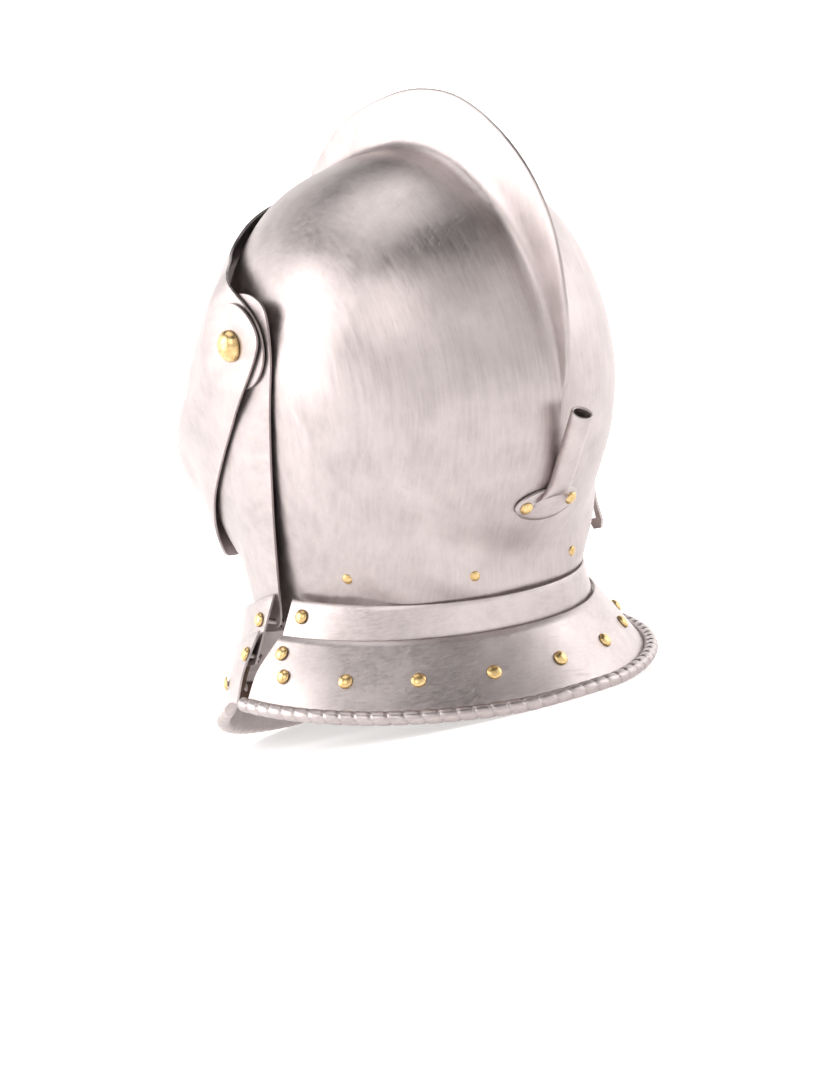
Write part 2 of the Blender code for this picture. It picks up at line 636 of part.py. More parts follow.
def arc_angles(ring, point_at, step, count):
    """Angles of points spread evenly along a ring, from its middle outwards: 0, then one each side."""
    fine = np.linspace(0.0, 100.0, 401)
    path = np.array([point_at(ring, a) for a in fine])
    run = np.concatenate([[0.0], np.cumsum(np.linalg.norm(np.diff(path, axis=0), axis=1))])
    return [float(np.interp(step * k, run, fine)) for k in range(count)]


def rivet_row(stem, ring, point_at, tree, step, count):
    """Spots for a row of rivets across a plate, from right to left."""
    angles = arc_angles(ring, point_at, step, count)
    signed = [-a for a in reversed(angles[1:])] + angles
    found = []
    for k, a in enumerate(signed):
        x, y, z = point_at(ring, a)
        found.append((f"{stem}_{k + 1}", *spot_towards(tree, (0.0, 0.0, z + 0.012), (x, y, z))))
    return found


rear_plate_tree = tree_of(*rear_plate_mesh)
front_plate_tree = tree_of(*front_plate_mesh)
rear_collar_tree = tree_of(*rear_collar_mesh)
front_collar_tree = tree_of(*front_collar_mesh)

# ---- rivets of the lining bands ----
rows = [
    (rivet_row("rear_rim_rivet", REAR_PLATE_MID, rear_point, rear_plate_tree, 0.039, 5), rear_plate, rear_band),
    (rivet_row("front_rim_rivet", FRONT_PLATE_MID, front_point, front_plate_tree, 0.040, 4), front_plate, front_band),
]
for found, steel_plate, band in rows:
    for name, at, axis in found:
        rivet(name, at, axis, SHEET + BAND_GAP + BAND_THICKNESS + 0.0007)
    rods = drill("cut_" + found[0][0], [(at, axis) for _, at, axis in found])
    boolean(steel_plate, rods, "DIFFERENCE")
    boolean(band, rods, "DIFFERENCE")

# ---- rivets that carry the lames: they are the hinges ----
hinges = [
    ("rear_collar_rivet", REAR_COLLAR_HINGE, rear_collar_tree, rear_collar, skull_tree, skull),
    ("rear_plate_rivet", REAR_PLATE_HINGE, rear_plate_tree, rear_plate, rear_collar_tree, rear_collar),
    ("front_collar_rivet", FRONT_COLLAR_HINGE, front_collar_tree, front_collar, bevor_tree, bevor),
    ("front_plate_rivet", FRONT_PLATE_HINGE, front_plate_tree, front_plate, front_collar_tree, front_collar),
]
for name, (y, z), outer_tree, outer_plate, inner_tree, inner_plate in hinges:
    spots = []
    for side, word in ((1, "left"), (-1, "right")):
        at, normal = spot_on(outer_tree, y, z, side)
        below = inner_tree.ray_cast(at - normal * (SHEET * 1.1), -normal)[0]
        grip = (at - below).length + SHEET * 3.0
        rivet(name + "_" + word, at + normal * 0.0002, normal, grip)
        spots.append((at, normal))
    rods = drill("cut_" + name, spots, 0.0160)
    boolean(outer_plate, rods, "DIFFERENCE")
    boolean(inner_plate, rods, "DIFFERENCE")

# ---- rivets of the skull's lining ----
spots = []
for k, angle in enumerate((-62.6, -20.5, 20.5, 62.6)):
    at, normal = spot_towards(skull_tree, (0.0, 0.020, 0.105), rear_point(SKULL_RIVET_RING, angle))
    rivet(f"skull_rivet_{k + 1}", at, normal, SHEET, 0.0030)
    spots.append((at, normal))
boolean(skull, drill("cut_skull_rivet", spots), "DIFFERENCE")

# ---- plume holder: an oval foot shaped to the nape, and a tube that leans back from it ----
foot_centre = mathutils.Vector((0.0, *PLUME_FOOT))
aim = mathutils.Vector((0.0, 0.020, 0.150))
foot_at, foot_normal = spot_towards(plain_tree, aim, foot_centre)
foot_up = mathutils.Vector((1.0, 0.0, 0.0)).cross(foot_normal).normalized()
if foot_up.z < 0:
    foot_up = -foot_up


def foot_spot(x, up):
    return spot_towards(plain_tree, aim, foot_at + mathutils.Vector((x, 0, 0)) + foot_up * up)


grid = []
for share in (0.0, 0.5, 1.0):
    for k in range(20 if share else 1):
        a = 2 * math.pi * k / 20
        wide = PLUME_FOOT_SIZE[0] / 2 * share * math.cos(a)
        high = PLUME_FOOT_SIZE[1] / 2 * share * math.sin(a)
        grid.append(foot_spot(wide, high))
upper = [at + normal * (FOOT_GAP + 0.0015) for at, normal in grid]
lower = [at + normal * FOOT_GAP for at, normal in grid]
foot_faces = []
for base in (0, 41):
    for k in range(20):
        n = (k + 1) % 20
        foot_faces.append((base, base + 1 + k, base + 1 + n))
        foot_faces.append((base + 1 + k, base + 21 + k, base + 21 + n, base + 1 + n))
for k in range(20):
    n = (k + 1) % 20
    foot_faces.append((21 + k, 62 + k, 62 + n, 21 + n))
plume_holder = add_object("plume_holder", upper + lower, foot_faces, "steel")
tube_start = foot_at + foot_normal * 0.0050 - foot_up * 0.0050
tube_end = mathutils.Vector((0.0, *PLUME_TIP))
lean = (tube_end - tube_start).normalized()
length = (tube_end - tube_start).length
tube_profile = [
    (0.0, length), (PLUME_RADIUS, length), (PLUME_RADIUS * 0.95, length * 0.6),
    (PLUME_RADIUS * 0.98, length * 0.3),
    (PLUME_RADIUS * 0.86, length * 0.12), (PLUME_RADIUS * 0.55, 0.0), (0.0, -0.0006),
]
tube, tube_faces = lathe(tube_profile, 16)
boolean(plume_holder, add_object("add_plume_tube", placed(tube, tube_start, lean), tube_faces), "UNION")
bore, bore_faces = lathe([(0.0, length + 0.004), (PLUME_BORE, length + 0.004), (PLUME_BORE, 0.016), (0.0, 0.016)], 16)
boolean(plume_holder, add_object("cut_plume_bore", placed(bore, tube_start, lean), bore_faces), "DIFFERENCE")
keep_off = add_object("cut_under_foot", *egg(skull_rows(-GAP * 0.9, 48, 1.0, OUTER_COLUMNS)))
boolean(plume_holder, keep_off, "DIFFERENCE")
spots = []
for side, word in ((1, "left"), (-1, "right")):
    at, normal = foot_spot(side * 0.0148, 0.0)
    spots.append((at, normal))
    rivet("plume_rivet_" + word, at + normal * (FOOT_GAP + 0.0015), normal, SHEET + FOOT_GAP + 0.0015, 0.0036)
rods = drill("cut_plume_rivet", spots)
boolean(plume_holder, rods, "DIFFERENCE")
boolean(skull, rods, "DIFFERENCE")

# ---- pivots ----
for side, word in ((1, "left"), (-1, "right")):
    axis = (side, 0.0, 0.0)
    at = (side * VENTAIL_HALF_WIDTH, PIVOT_Y, PIVOT_Z)
    grip = VENTAIL_HALF_WIDTH - PIVOT_SHANK_END
    profile = [
        (0.0, 0.0060), (0.0040, 0.0054), (0.0072, 0.0034), (0.0085, 0.0009), (0.0085, GAP),
        (0.0025, GAP), (0.0025, -grip), (0.0, -grip),
    ]
    points, faces = lathe(profile, 16)
    add_object("pivot_bolt_" + word, placed(points, at, axis), faces, "brass", origin=at)
    ring = []
    for r, x in ((0.0060, PIVOT_NUT[0]), (0.0060, PIVOT_NUT[1]), (0.0028, PIVOT_NUT[1]), (0.0028, PIVOT_NUT[0])):
        turns = [2 * math.pi * k / 12 for k in range(12)]
        ring.append([(side * x, PIVOT_Y + r * math.cos(t), PIVOT_Z + r * math.sin(t)) for t in turns])
    points = [p for circle in ring for p in circle]
    faces = []
    for i in range(4):
        for k in range(12):
            a, b = i * 12, ((i + 1) % 4) * 12
            faces.append((a + k, a + (k + 1) % 12, b + (k + 1) % 12, b + k))
    add_object("pivot_nut_" + word, points, faces, "steel")
both = [((side * 0.095, PIVOT_Y, PIVOT_Z), (side, 0.0, 0.0)) for side in (1, -1)]
rods = drill("cut_pivot_holes", both, 0.015, 0.0029)
for target in (skull, bevor, visor, ventail):
    boolean(target, rods, "DIFFERENCE")

# ---- lifting peg on the right side of the visor ----
at, normal = spot_on(visor_tree, *PEG_SPOT, -1)
profile = [
    (0.0, 0.0150), (0.0024, 0.0144), (0.0036, 0.0122), (0.0030, 0.0100), (0.0017, 0.0084), (0.0015, 0.0040),
    (0.0040, 0.0022), (0.0050, GAP), (SHANK_RADIUS, GAP), (SHANK_RADIUS, -SHEET - GAP),
    (0.0026, -SHEET - GAP),
    (0.0022, -SHEET - GAP - 0.0008), (0.0, -SHEET - GAP - 0.0009),
]
points, faces = lathe(profile, 14)
add_object("visor_lifting_peg", placed(points, at, normal), faces, "brass")
boolean(visor, drill("cut_peg_hole", [(at, normal)]), "DIFFERENCE")

# ---- latch on the right side: a hook on the skull that drops over a stud on the bevor ----
hook_y, hook_z = LATCH_PIVOT
outline = [
    (-0.0045, 0.0020), (-0.0020, 0.0046), (0.0020, 0.0046), (0.0045, 0.0020), (0.0038, -0.0080),
    (0.0036, -0.0330),
    (0.0050, -0.0440), (0.0030, -0.0485), (-0.0030, -0.0485), (-0.0052, -0.0440), (-0.0052, -0.0425),
    (0.0006, -0.0425), (0.0006, -0.0370), (-0.0036, -0.0370), (-0.0038, -0.0080),
]
points = [(x, hook_y + a, hook_z + b) for x in (-LATCH_PLANE - 0.0016, -LATCH_PLANE) for a, b in outline]
count = len(outline)
faces = [tuple(range(count)), tuple(range(2 * count - 1, count - 1, -1))]
faces += [(i, (i + 1) % count, count + (i + 1) % count, count + i) for i in range(count)]
hook = add_object("latch_hook", points, faces, "steel", origin=(-LATCH_PLANE, hook_y, hook_z), smooth=False)
axis = (-1.0, 0.0, 0.0)
at, _ = spot_on(skull_tree, hook_y, hook_z, -1)
reach = LATCH_PLANE + 0.0016 - abs(at.x)
profile = [
    (0.0, reach + GAP + 0.0018), (0.0022, reach + GAP + 0.0014), (0.0034, reach + GAP),
    (SHANK_RADIUS, reach + GAP),
    (SHANK_RADIUS, reach - 0.0016 - GAP), (0.0032, reach - 0.0016 - GAP), (0.0032, 0.0009),
    (SHANK_RADIUS, 0.0009),
    (SHANK_RADIUS, -SHEET - 0.0012), (0.0026, -SHEET - 0.0012), (0.0022, -SHEET - 0.0020),
    (0.0, -SHEET - 0.0021),
]
points, faces = lathe(profile, 12)
add_object("latch_rivet", placed(points, at, axis), faces, "brass")
rods = drill("cut_latch_rivet", [(at, axis)], 0.012)
boolean(skull, rods, "DIFFERENCE")
boolean(hook, rods, "DIFFERENCE")
at, _ = spot_on(bevor_tree, LATCH_STUD[0], LATCH_STUD[1], -1)
reach = LATCH_PLANE + 0.0016 - abs(at.x)
profile = [
    (0.0, reach + 0.0030), (0.0020, reach + 0.0026), (0.0034, reach + 0.0006), (0.0019, reach + 0.0006),
    (0.0019, 0.0009), (SHANK_RADIUS, 0.0009), (SHANK_RADIUS, -SHEET - 0.0012), (0.0026, -SHEET - 0.0012),
    (0.0022, -SHEET - 0.0020), (0.0, -SHEET - 0.0021),
]
points, faces = lathe(profile, 12)
add_object("latch_stud", placed(points, at, axis), faces, "brass")
boolean(bevor, drill("cut_latch_stud", [(at, axis)]), "DIFFERENCE")

# ---- liner and chin strap ----
liner_outer = egg(skull_rows(SHEET + 0.0006, 40, 0.0, INNER_COLUMNS))
liner_inner = egg(skull_rows(SHEET + 0.0006 + LINER_THICKNESS, 40, 0.0, INNER_COLUMNS))
liner = add_object("head_liner", *liner_outer, "linen")
boolean(liner, add_object("cut_inside_liner", *liner_inner), "DIFFERENCE")
boolean(liner, prism("cut_outline_liner", rounded(LINER_OUTLINE)), "INTERSECT")

strap_y, strap_top, strap_low, strap_half = CHIN_STRAP
stations = []
for k in range(25):
    q = -1.0 + 2.0 * k / 24
    t = q * math.pi / 2
    x = strap_half * math.sin(t)
    z = strap_top + (strap_low - strap_top) * math.cos(t)
    out = mathutils.Vector((math.sin(t) * (strap_top - strap_low), 0.0, -math.cos(t) * strap_half)).normalized()
    ring = []
    for y, depth in ((-0.008, 0.001), (0.008, 0.001), (0.008, -0.001), (-0.008, -0.001)):
        ring.append(mathutils.Vector((x, strap_y + y, z)) + out * depth)
    stations.append(ring)
add_object("chin_strap", *sweep(stations), "leather")
t = math.radians(38.0)
x = strap_half * math.sin(t)
z = strap_top + (strap_low - strap_top) * math.cos(t)
out = mathutils.Vector((math.sin(t) * (strap_top - strap_low), 0.0, -math.cos(t) * strap_half)).normalized()
along = mathutils.Vector((0.0, 1.0, 0.0)).cross(out).normalized()
corner = []
for wide, deep in ((0.0105, 0.0030), (0.0088, 0.0014)):
    for end in (-0.0030, 0.0030):
        for y, depth in ((-wide, -deep), (wide, -deep), (wide, deep), (-wide, deep)):
            corner.append(mathutils.Vector((x, strap_y + y, z)) + out * depth + along * end)
faces = []
for k in range(4):
    n = (k + 1) % 4
    faces += [(k, n, 4 + n, 4 + k), (8 + k, 12 + k, 12 + n, 8 + n), (k, 8 + k, 8 + n, n), (4 + k, 4 + n, 12 + n, 12 + k)]
add_object("chin_buckle", corner, faces, "brass", smooth=False)

# ---- the origin goes to the middle of the bounding box in plan ----
for made in bpy.data.objects:
    made.location.y += CENTRE_SHIFT
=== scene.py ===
"""The looks of the close helmet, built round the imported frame: fine steel shells, roped rims, domed rivets,
a quilted liner and leather straps, with procedural materials. Metres, in the frame's own axes."""

import math

import bmesh
import bpy
import numpy as np
from mathutils import Matrix, Vector
from mathutils.bvhtree import BVHTree


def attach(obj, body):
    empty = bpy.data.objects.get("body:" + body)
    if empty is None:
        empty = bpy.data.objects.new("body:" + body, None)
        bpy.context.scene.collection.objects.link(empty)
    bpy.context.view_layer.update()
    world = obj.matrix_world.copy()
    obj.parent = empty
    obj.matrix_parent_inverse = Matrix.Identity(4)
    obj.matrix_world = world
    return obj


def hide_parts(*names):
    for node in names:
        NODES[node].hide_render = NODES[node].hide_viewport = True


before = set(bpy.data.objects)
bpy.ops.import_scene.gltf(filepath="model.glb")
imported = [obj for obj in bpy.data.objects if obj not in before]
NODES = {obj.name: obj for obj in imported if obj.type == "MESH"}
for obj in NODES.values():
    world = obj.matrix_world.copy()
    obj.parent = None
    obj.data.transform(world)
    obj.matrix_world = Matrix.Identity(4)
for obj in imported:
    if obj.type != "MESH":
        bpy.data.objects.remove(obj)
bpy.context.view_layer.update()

# ---- the design's own dimensions (metres, degrees), before the shift that centres the frame ----
CENTRE_SHIFT = -0.00335
SHEET = 0.0012
PIVOT_Y = 0.0210
PIVOT_Z = 0.2155
SKULL_CENTRE = (0.0450, 0.1905)
SKULL_HALF_WIDTH = 0.0940
BEVOR_HALF_WIDTH = 0.0970
VISOR_HALF_WIDTH = 0.0995
VENTAIL_HALF_WIDTH = 0.1020
VISOR_INSET_ANGLES = (-20.0, -6.0)
VISOR_INSETS = (0.0078, 0.0040)
COMB_SLOT_WIDTH = 0.0090
COMB_SLOT_LOW = 33.0
REAR_TILT = 12.0
TILT_PIVOT = (0.0295, 0.1950)
BEAD_RADIUS = 0.0038
REST_FLAT = 0.0004
BAND_THICKNESS = 0.0018
BAND_GAP = 0.0005
LINER_THICKNESS = 0.0080
SIGHT_Z = 0.2440
SIGHT_INNER = 0.0090
SIGHT_OUTER = 0.0560

SKULL_PROFILE = [
    (-0.0750, 0.2340), (-0.0530, 0.2700), (-0.0160, 0.2955), (0.0240, 0.3022), (0.0690, 0.2995),
    (0.1040, 0.2855), (0.1298, 0.2618), (0.1455, 0.2354), (0.1545, 0.2030), (0.1555, 0.1721),
    (0.1510, 0.1472), (0.1365, 0.1182), (0.1180, 0.0960), (0.1010, 0.0770), (0.0952, 0.0600),
    (0.0870, 0.0483), (0.0700, 0.0270), (0.0450, 0.0130), (0.0000, -0.0150), (-0.0500, -0.0220),
    (-0.0950, 0.0300), (-0.1050, 0.1000), (-0.1030, 0.1500), (-0.0930, 0.1950),
]
COMB_ANGLES = [47.0, 54.0, 64.5, 80.9, 95.3, 109.6, 122.6, 136.1, 147.7, 159.3, 173.9, 187.4, 194.7, 201.0]
COMB_HEIGHTS = [
    0.0, 0.0030, 0.0098, 0.0222, 0.0265, 0.0312, 0.0338, 0.0332, 0.0312, 0.0275, 0.0178, 0.0095, 0.0050, 0.0,
]
COMB_FLANK = [
    0.0, 0.0006, 0.0010, 0.0013, 0.0015, 0.0017, 0.0019, 0.0022, 0.0028, 0.0038, 0.0052, 0.0070,
    0.0090,
]
COMB_SHARES = [1.0, 0.993, 0.978, 0.94, 0.80, 0.56, 0.36, 0.24, 0.145, 0.075, 0.030, 0.008, 0.0]
FACE_ANGLES = [
    -180.0, -140.0, -100.0, -80.0, -62.0, -50.0, -40.0, -30.0, -20.0, -12.0, -4.0, 8.0, 22.0, 38.0, 55.0,
    80.0, 120.0, 180.0,
]
FACE_REACH = [
    0.2300, 0.2500, 0.2600, 0.2500, 0.2400, 0.2250, 0.2080, 0.1940, 0.2004, 0.1766, 0.1555, 0.1314, 0.1131,
    0.0997, 0.0965, 0.0980, 0.1500, 0.2300,
]
FACE_POWER = 1.75
VENTAIL_EDGE_REACH = [0.030, 0.0415, 0.0627, 0.0883, 0.1164, 0.19]
VENTAIL_EDGE_ANGLES = [12.0, -1.0, -10.6, -14.4, -16.0, -18.5]
BEVOR_ANGLES = [
    -180.0, -140.0, -100.0, -80.0, -66.0, -52.0, -45.0, -35.0, -28.0, -12.0, 10.0, 40.0, 90.0,
    180.0,
]
BEVOR_REACH = [
    0.2400, 0.2850, 0.3100, 0.2950, 0.2450, 0.1870, 0.1860, 0.1860, 0.1870, 0.1700, 0.1500, 0.1500,
    0.1800, 0.2200,
]
BEVOR_POWERS = [2.3, 2.3, 2.3, 2.3, 2.25, 2.15, 2.05, 1.9, 1.75, 1.75, 1.75, 1.9, 2.3, 2.3]
SKULL_OUTLINE = [
    (-0.0480, 0.3100), (-0.0480, 0.2680), (-0.0330, 0.2480), (-0.0150, 0.2300), (-0.0080, 0.2050),
    (-0.0100, 0.1600), (-0.0180, 0.1150), (-0.0260, 0.0820), (-0.0200, 0.0720), (0.0000, 0.0680),
    (0.0400, 0.0580), (0.0900, 0.0485), (0.1400, 0.0400), (0.2200, 0.0400), (0.2200, 0.3700),
    (-0.0480, 0.3700),
]
VISOR_OUTLINE = [
    (-0.0310, 0.2970), (-0.0210, 0.2870), (-0.0150, 0.2790), (-0.0120, 0.2710), (-0.0020, 0.2640),
    (0.0150, 0.2540), (0.0270, 0.2440), (0.0360, 0.2350), (0.0430, 0.2260), (0.0460, 0.2155),
    (0.0440, 0.2050), (0.0370, 0.1965), (0.0260, 0.1915), (0.0140, 0.1920), (0.0030, 0.1960),
    (-0.0200, 0.2010), (-0.0600, 0.1830), (-0.1000, 0.1670), (-0.1400, 0.1500), (-0.2200, 0.1180),
    (-0.2200, 0.3900),
]
VENTAIL_OUTLINE = [
    (0.0450, 0.2120), (0.0452, 0.2200), (0.0412, 0.2279), (0.0359, 0.2336), (0.0279, 0.2373),
    (0.0175, 0.2373),
    (0.0057, 0.2328), (-0.0044, 0.2249), (-0.0205, 0.2147), (-0.0407, 0.2040), (-0.0645, 0.1935),
    (-0.0913, 0.1835), (-0.1300, 0.1690), (-0.2300, 0.1300), (-0.2300, 0.1030), (-0.1300, 0.1040),
    (-0.1080, 0.1060),
    (-0.0960, 0.1120), (-0.0860, 0.1220), (-0.0578, 0.1391), (-0.0307, 0.1542), (-0.0049, 0.1710),
    (0.0183, 0.1882), (0.0352, 0.2016),
]
BEVOR_OUTLINE = [
    (0.0510, 0.2280), (0.0450, 0.2360), (0.0330, 0.2410), (0.0180, 0.2410), (0.0030, 0.2350),
    (-0.0080, 0.2240),
    (-0.0180, 0.2050), (-0.0600, 0.1640), (-0.1000, 0.1380), (-0.1400, 0.1170), (-0.2200, 0.0900),
    (-0.2200, 0.0300),
    (-0.1300, 0.0480), (-0.0950, 0.0560), (-0.0400, 0.0640), (-0.0190, 0.0640), (-0.0120, 0.0680),
    (-0.0070, 0.0760), (0.0040, 0.1010), (0.0210, 0.1430), (0.0370, 0.1840), (0.0470, 0.2050),
]
LINER_OUTLINE = [
    (-0.0350, 0.3400), (-0.0350, 0.2750), (-0.0100, 0.2520), (0.0150, 0.2400), (0.0350, 0.2300),
    (0.0400, 0.2100),
    (0.0400, 0.1750), (0.0500, 0.1480), (0.0900, 0.1300), (0.2000, 0.1230), (0.2000, 0.3400),
]
REAR_COLLAR = ([(0.0862, 0.1040, -0.0088, -0.1195), (0.1015, 0.1185, -0.0240, -0.1480)], [86.0, 79.0])
REAR_PLATE = (
    [
        (0.0985, 0.1180, -0.0204, -0.1368), (0.1105, 0.1290, -0.0181, -0.1545),
        (0.1205, 0.1305, -0.0042, -0.1698),
    ],
    [80.0, 85.0, 91.5],
)
FRONT_COLLAR = (
    [(0.0908, 0.0908, -0.0100, 0.0825, 0.0720), (0.1015, 0.0960, -0.0155, 0.0495, 0.0380)],
    [92.0, 86.0],
)
FRONT_PLATE = (
    [
        (0.0985, 0.0965, -0.0130, 0.0660, 0.0500), (0.1085, 0.1000, -0.0160, 0.0480, 0.0270),
        (0.1165, 0.1010, -0.0176, 0.0326, 0.0030),
    ],
    [88.0, 84.0, 80.0],
)
CHIN_STRAP = (0.0050, 0.1300, 0.0820, 0.0800)
PLUME_FOOT = (0.1217, 0.1030)
PLUME_FOOT_SIZE = (0.0410, 0.0200)
PLUME_TIP = (0.1650, 0.1430)
PLUME_RADIUS = 0.0058
PLUME_BORE = 0.0044
ROPE_PITCH = 0.0088
ROPE_LEAN = 0.42
ROPE_CUT = (0.20, 0.00055)
ROPE_SWELL = (0.05, 0.0017)
RIM_HEAD = (0.0040, 0.0022)
PLUME_HEAD = (0.0036, 0.0020)
LINING_HEAD = (0.0030, 0.0017)
RIVET_SHANK = 0.0014
PIVOT_HEAD = (0.0085, 0.0057)
PIVOT_STANDS_OUT = 0.0060
PIVOT_SHANK = 0.0025
PIVOT_END = 0.0838

# ---- camera ----
CAMERA_AZIMUTH = 143.71
CAMERA_ELEVATION = 2.01
CAMERA_ROLL = 12.31
CAMERA_DISTANCE = 1.4054
CAMERA_LENS = 112.8
TARGET = (0.0, 0.02615, 0.1965)
TARGET_ASIDE = (-0.0050, 0.0712)


# ---------------------------------------------------------------- materials
class Nodes:
    """Short calls for building one material's node tree."""

    def __init__(self, name):
        self.material = bpy.data.materials.new(name)
        self.material.use_nodes = True
        self.tree = self.material.node_tree
        self.shader = self.tree.nodes["Principled BSDF"]
        where = self.tree.nodes.new("ShaderNodeTexCoord")
        self.place = where.outputs["Object"]

    def link(self, out, socket):
        self.tree.links.new(out, socket)

    def mapping(self, scale, turn=(0.0, 0.0, 0.0)):
        node = self.tree.nodes.new("ShaderNodeMapping")
        node.inputs["Scale"].default_value = scale
        node.inputs["Rotation"].default_value = turn
        self.link(self.place, node.inputs["Vector"])
        return node.outputs["Vector"]

    def noise(self, vector, scale, detail=4.0, rough=0.55, distort=0.0):
        node = self.tree.nodes.new("ShaderNodeTexNoise")
        node.inputs["Scale"].default_value = scale
        node.inputs["Detail"].default_value = detail
        node.inputs["Roughness"].default_value = rough
        node.inputs["Distortion"].default_value = distort
        self.link(vector, node.inputs["Vector"])
        return node.outputs["Fac"]

    def cells(self, vector, scale, feature="F1", output="Distance"):
        node = self.tree.nodes.new("ShaderNodeTexVoronoi")
        node.feature = feature
        node.inputs["Scale"].default_value = scale
        self.link(vector, node.inputs["Vector"])
        return node.outputs[output]

    def wave(self, vector, scale, distort=0.4):
        node = self.tree.nodes.new("ShaderNodeTexWave")
        node.inputs["Scale"].default_value = scale
        node.inputs["Distortion"].default_value = distort
        node.inputs["Detail Scale"].default_value = 2.0
        self.link(vector, node.inputs["Vector"])
        return node.outputs["Fac"]

    def ramp(self, value, stops):
        node = self.tree.nodes.new("ShaderNodeValToRGB")
        while len(node.color_ramp.elements) < len(stops):
            node.color_ramp.elements.new(0.5)
        for element, (at, colour) in zip(node.color_ramp.elements, stops):
            element.position = at
            element.color = (*colour, 1.0) if hasattr(colour, "__len__") else (colour, colour, colour, 1.0)
        self.link(value, node.inputs["Fac"])
        return node.outputs["Color"]

    def mix(self, share, a, b, how="MIX"):
        node = self.tree.nodes.new("ShaderNodeMix")
        node.data_type = "RGBA"
        node.blend_type = how
        if isinstance(share, float):
            node.inputs["Factor"].default_value = share
        else:
            self.link(share, node.inputs["Factor"])
        for value, socket in ((a, node.inputs["A"]), (b, node.inputs["B"])):
            if isinstance(value, tuple):
                socket.default_value = (*value, 1.0)
            else:
                self.link(value, socket)
        return node.outputs["Result"]

    def sums(self, a, b, how="ADD"):
        node = self.tree.nodes.new("ShaderNodeMath")
        node.operation = how
        for value, socket in ((a, node.inputs[0]), (b, node.inputs[1])):
            if isinstance(value, float):
                socket.default_value = value
            else:
                self.link(value, socket)
        return node.outputs["Value"]

    def bump(self, height, distance, strength=1.0, after=None):
        node = self.tree.nodes.new("ShaderNodeBump")
        node.inputs["Distance"].default_value = distance
        node.inputs["Strength"].default_value = strength
        self.link(height, node.inputs["Height"])
        if after is not None:
            self.link(after, node.inputs["Normal"])
        return node.outputs["Normal"]

    def finish(self, colour, roughness, normal, **values):
        self.link(colour, self.shader.inputs["Base Color"])
        self.link(roughness, self.shader.inputs["Roughness"])
        self.link(normal, self.shader.inputs["Normal"])
        for name, value in values.items():
            self.shader.inputs[name.replace("_", " ")].default_value = value
        return self.material


def steel_material(name, stretch, light=(0.60, 0.535, 0.525), dark=(0.44, 0.385, 0.378), rough=(0.30, 0.40)):
    """Brushed steel: fine lines across the stretch axis, cloudy tone, and a few stray scratches."""
    n = Nodes(name)
    lines = n.noise(n.mapping(stretch), 1.0, 3.0, 0.65)
    cloud = n.noise(n.mapping((14.0, 14.0, 14.0)), 1.0, 5.0, 0.6, 0.4)
    patch = n.noise(n.mapping((55.0, 55.0, 55.0)), 1.0, 4.0, 0.65)
    stray = n.noise(n.mapping((60.0, 1500.0, 240.0), (0.5, 0.3, 0.9)), 1.0, 2.0, 0.5)
    grain = n.noise(n.mapping((2600.0, 2600.0, 2600.0)), 1.0, 2.0, 0.6)
    tone = n.mix(n.ramp(cloud, [(0.34, 0.0), (0.66, 1.0)]), dark, light)
    tone = n.mix(n.ramp(patch, [(0.30, 0.55), (0.62, 0.0)]), tone, tuple(0.86 * c for c in dark))
    tone = n.mix(n.ramp(lines, [(0.35, 0.0), (0.70, 0.42)]), tone, tuple(min(1.0, 1.12 * c) for c in light))
    gloss = n.ramp(cloud, [(0.30, rough[0]), (0.70, rough[1])])
    gloss = n.sums(gloss, n.ramp(lines, [(0.3, 0.0), (0.7, 0.09)]))
    gloss = n.sums(gloss, n.ramp(stray, [(0.62, 0.0), (0.70, 0.08)]))
    normal = n.bump(cloud, 0.0010, 0.22)
    normal = n.bump(lines, 0.00006, 0.7, normal)
    normal = n.bump(n.ramp(stray, [(0.60, 1.0), (0.68, 0.0)]), 0.00004, 0.5, normal)
    normal = n.bump(grain, 0.00002, 0.4, normal)
    return n.finish(tone, gloss, normal, Metallic=1.0, Anisotropic=0.35)


def brass_material():
    n = Nodes("brass_polished")
    cloud = n.noise(n.mapping((260.0, 260.0, 260.0)), 1.0, 4.0, 0.6)
    pits = n.cells(n.mapping((1300.0, 1300.0, 1300.0)), 1.0)
    tone = n.mix(n.ramp(cloud, [(0.32, 0.0), (0.66, 1.0)]), (0.60, 0.40, 0.17), (0.83, 0.62, 0.31))
    tone = n.mix(n.ramp(pits, [(0.0, 0.35), (0.22, 0.0)]), tone, (0.28, 0.17, 0.08))
    gloss = n.ramp(cloud, [(0.3, 0.34), (0.7, 0.20)])
    normal = n.bump(cloud, 0.00018, 0.5)
    return n.finish(tone, gloss, normal, Metallic=1.0)


def leather_material():
    n = Nodes("leather_dark_brown")
    grain = n.cells(n.mapping((900.0, 900.0, 900.0)), 1.0, "DISTANCE_TO_EDGE")
    cloud = n.noise(n.mapping((90.0, 90.0, 90.0)), 1.0, 5.0, 0.6)
    fine = n.noise(n.mapping((2600.0, 2600.0, 2600.0)), 1.0, 3.0, 0.6)
    tone = n.mix(n.ramp(cloud, [(0.3, 0.0), (0.7, 1.0)]), (0.075, 0.036, 0.018), (0.19, 0.098, 0.050))
    tone = n.mix(n.ramp(grain, [(0.0, 0.7), (0.16, 0.0)]), tone, (0.03, 0.015, 0.008))
    gloss = n.ramp(cloud, [(0.3, 0.50), (0.7, 0.68)])
    normal = n.bump(n.ramp(grain, [(0.0, 0.0), (0.25, 1.0)]), 0.00022, 0.8)
    normal = n.bump(fine, 0.00006, 0.5, normal)
    return n.finish(tone, gloss, normal, Specular_IOR_Level=0.4)


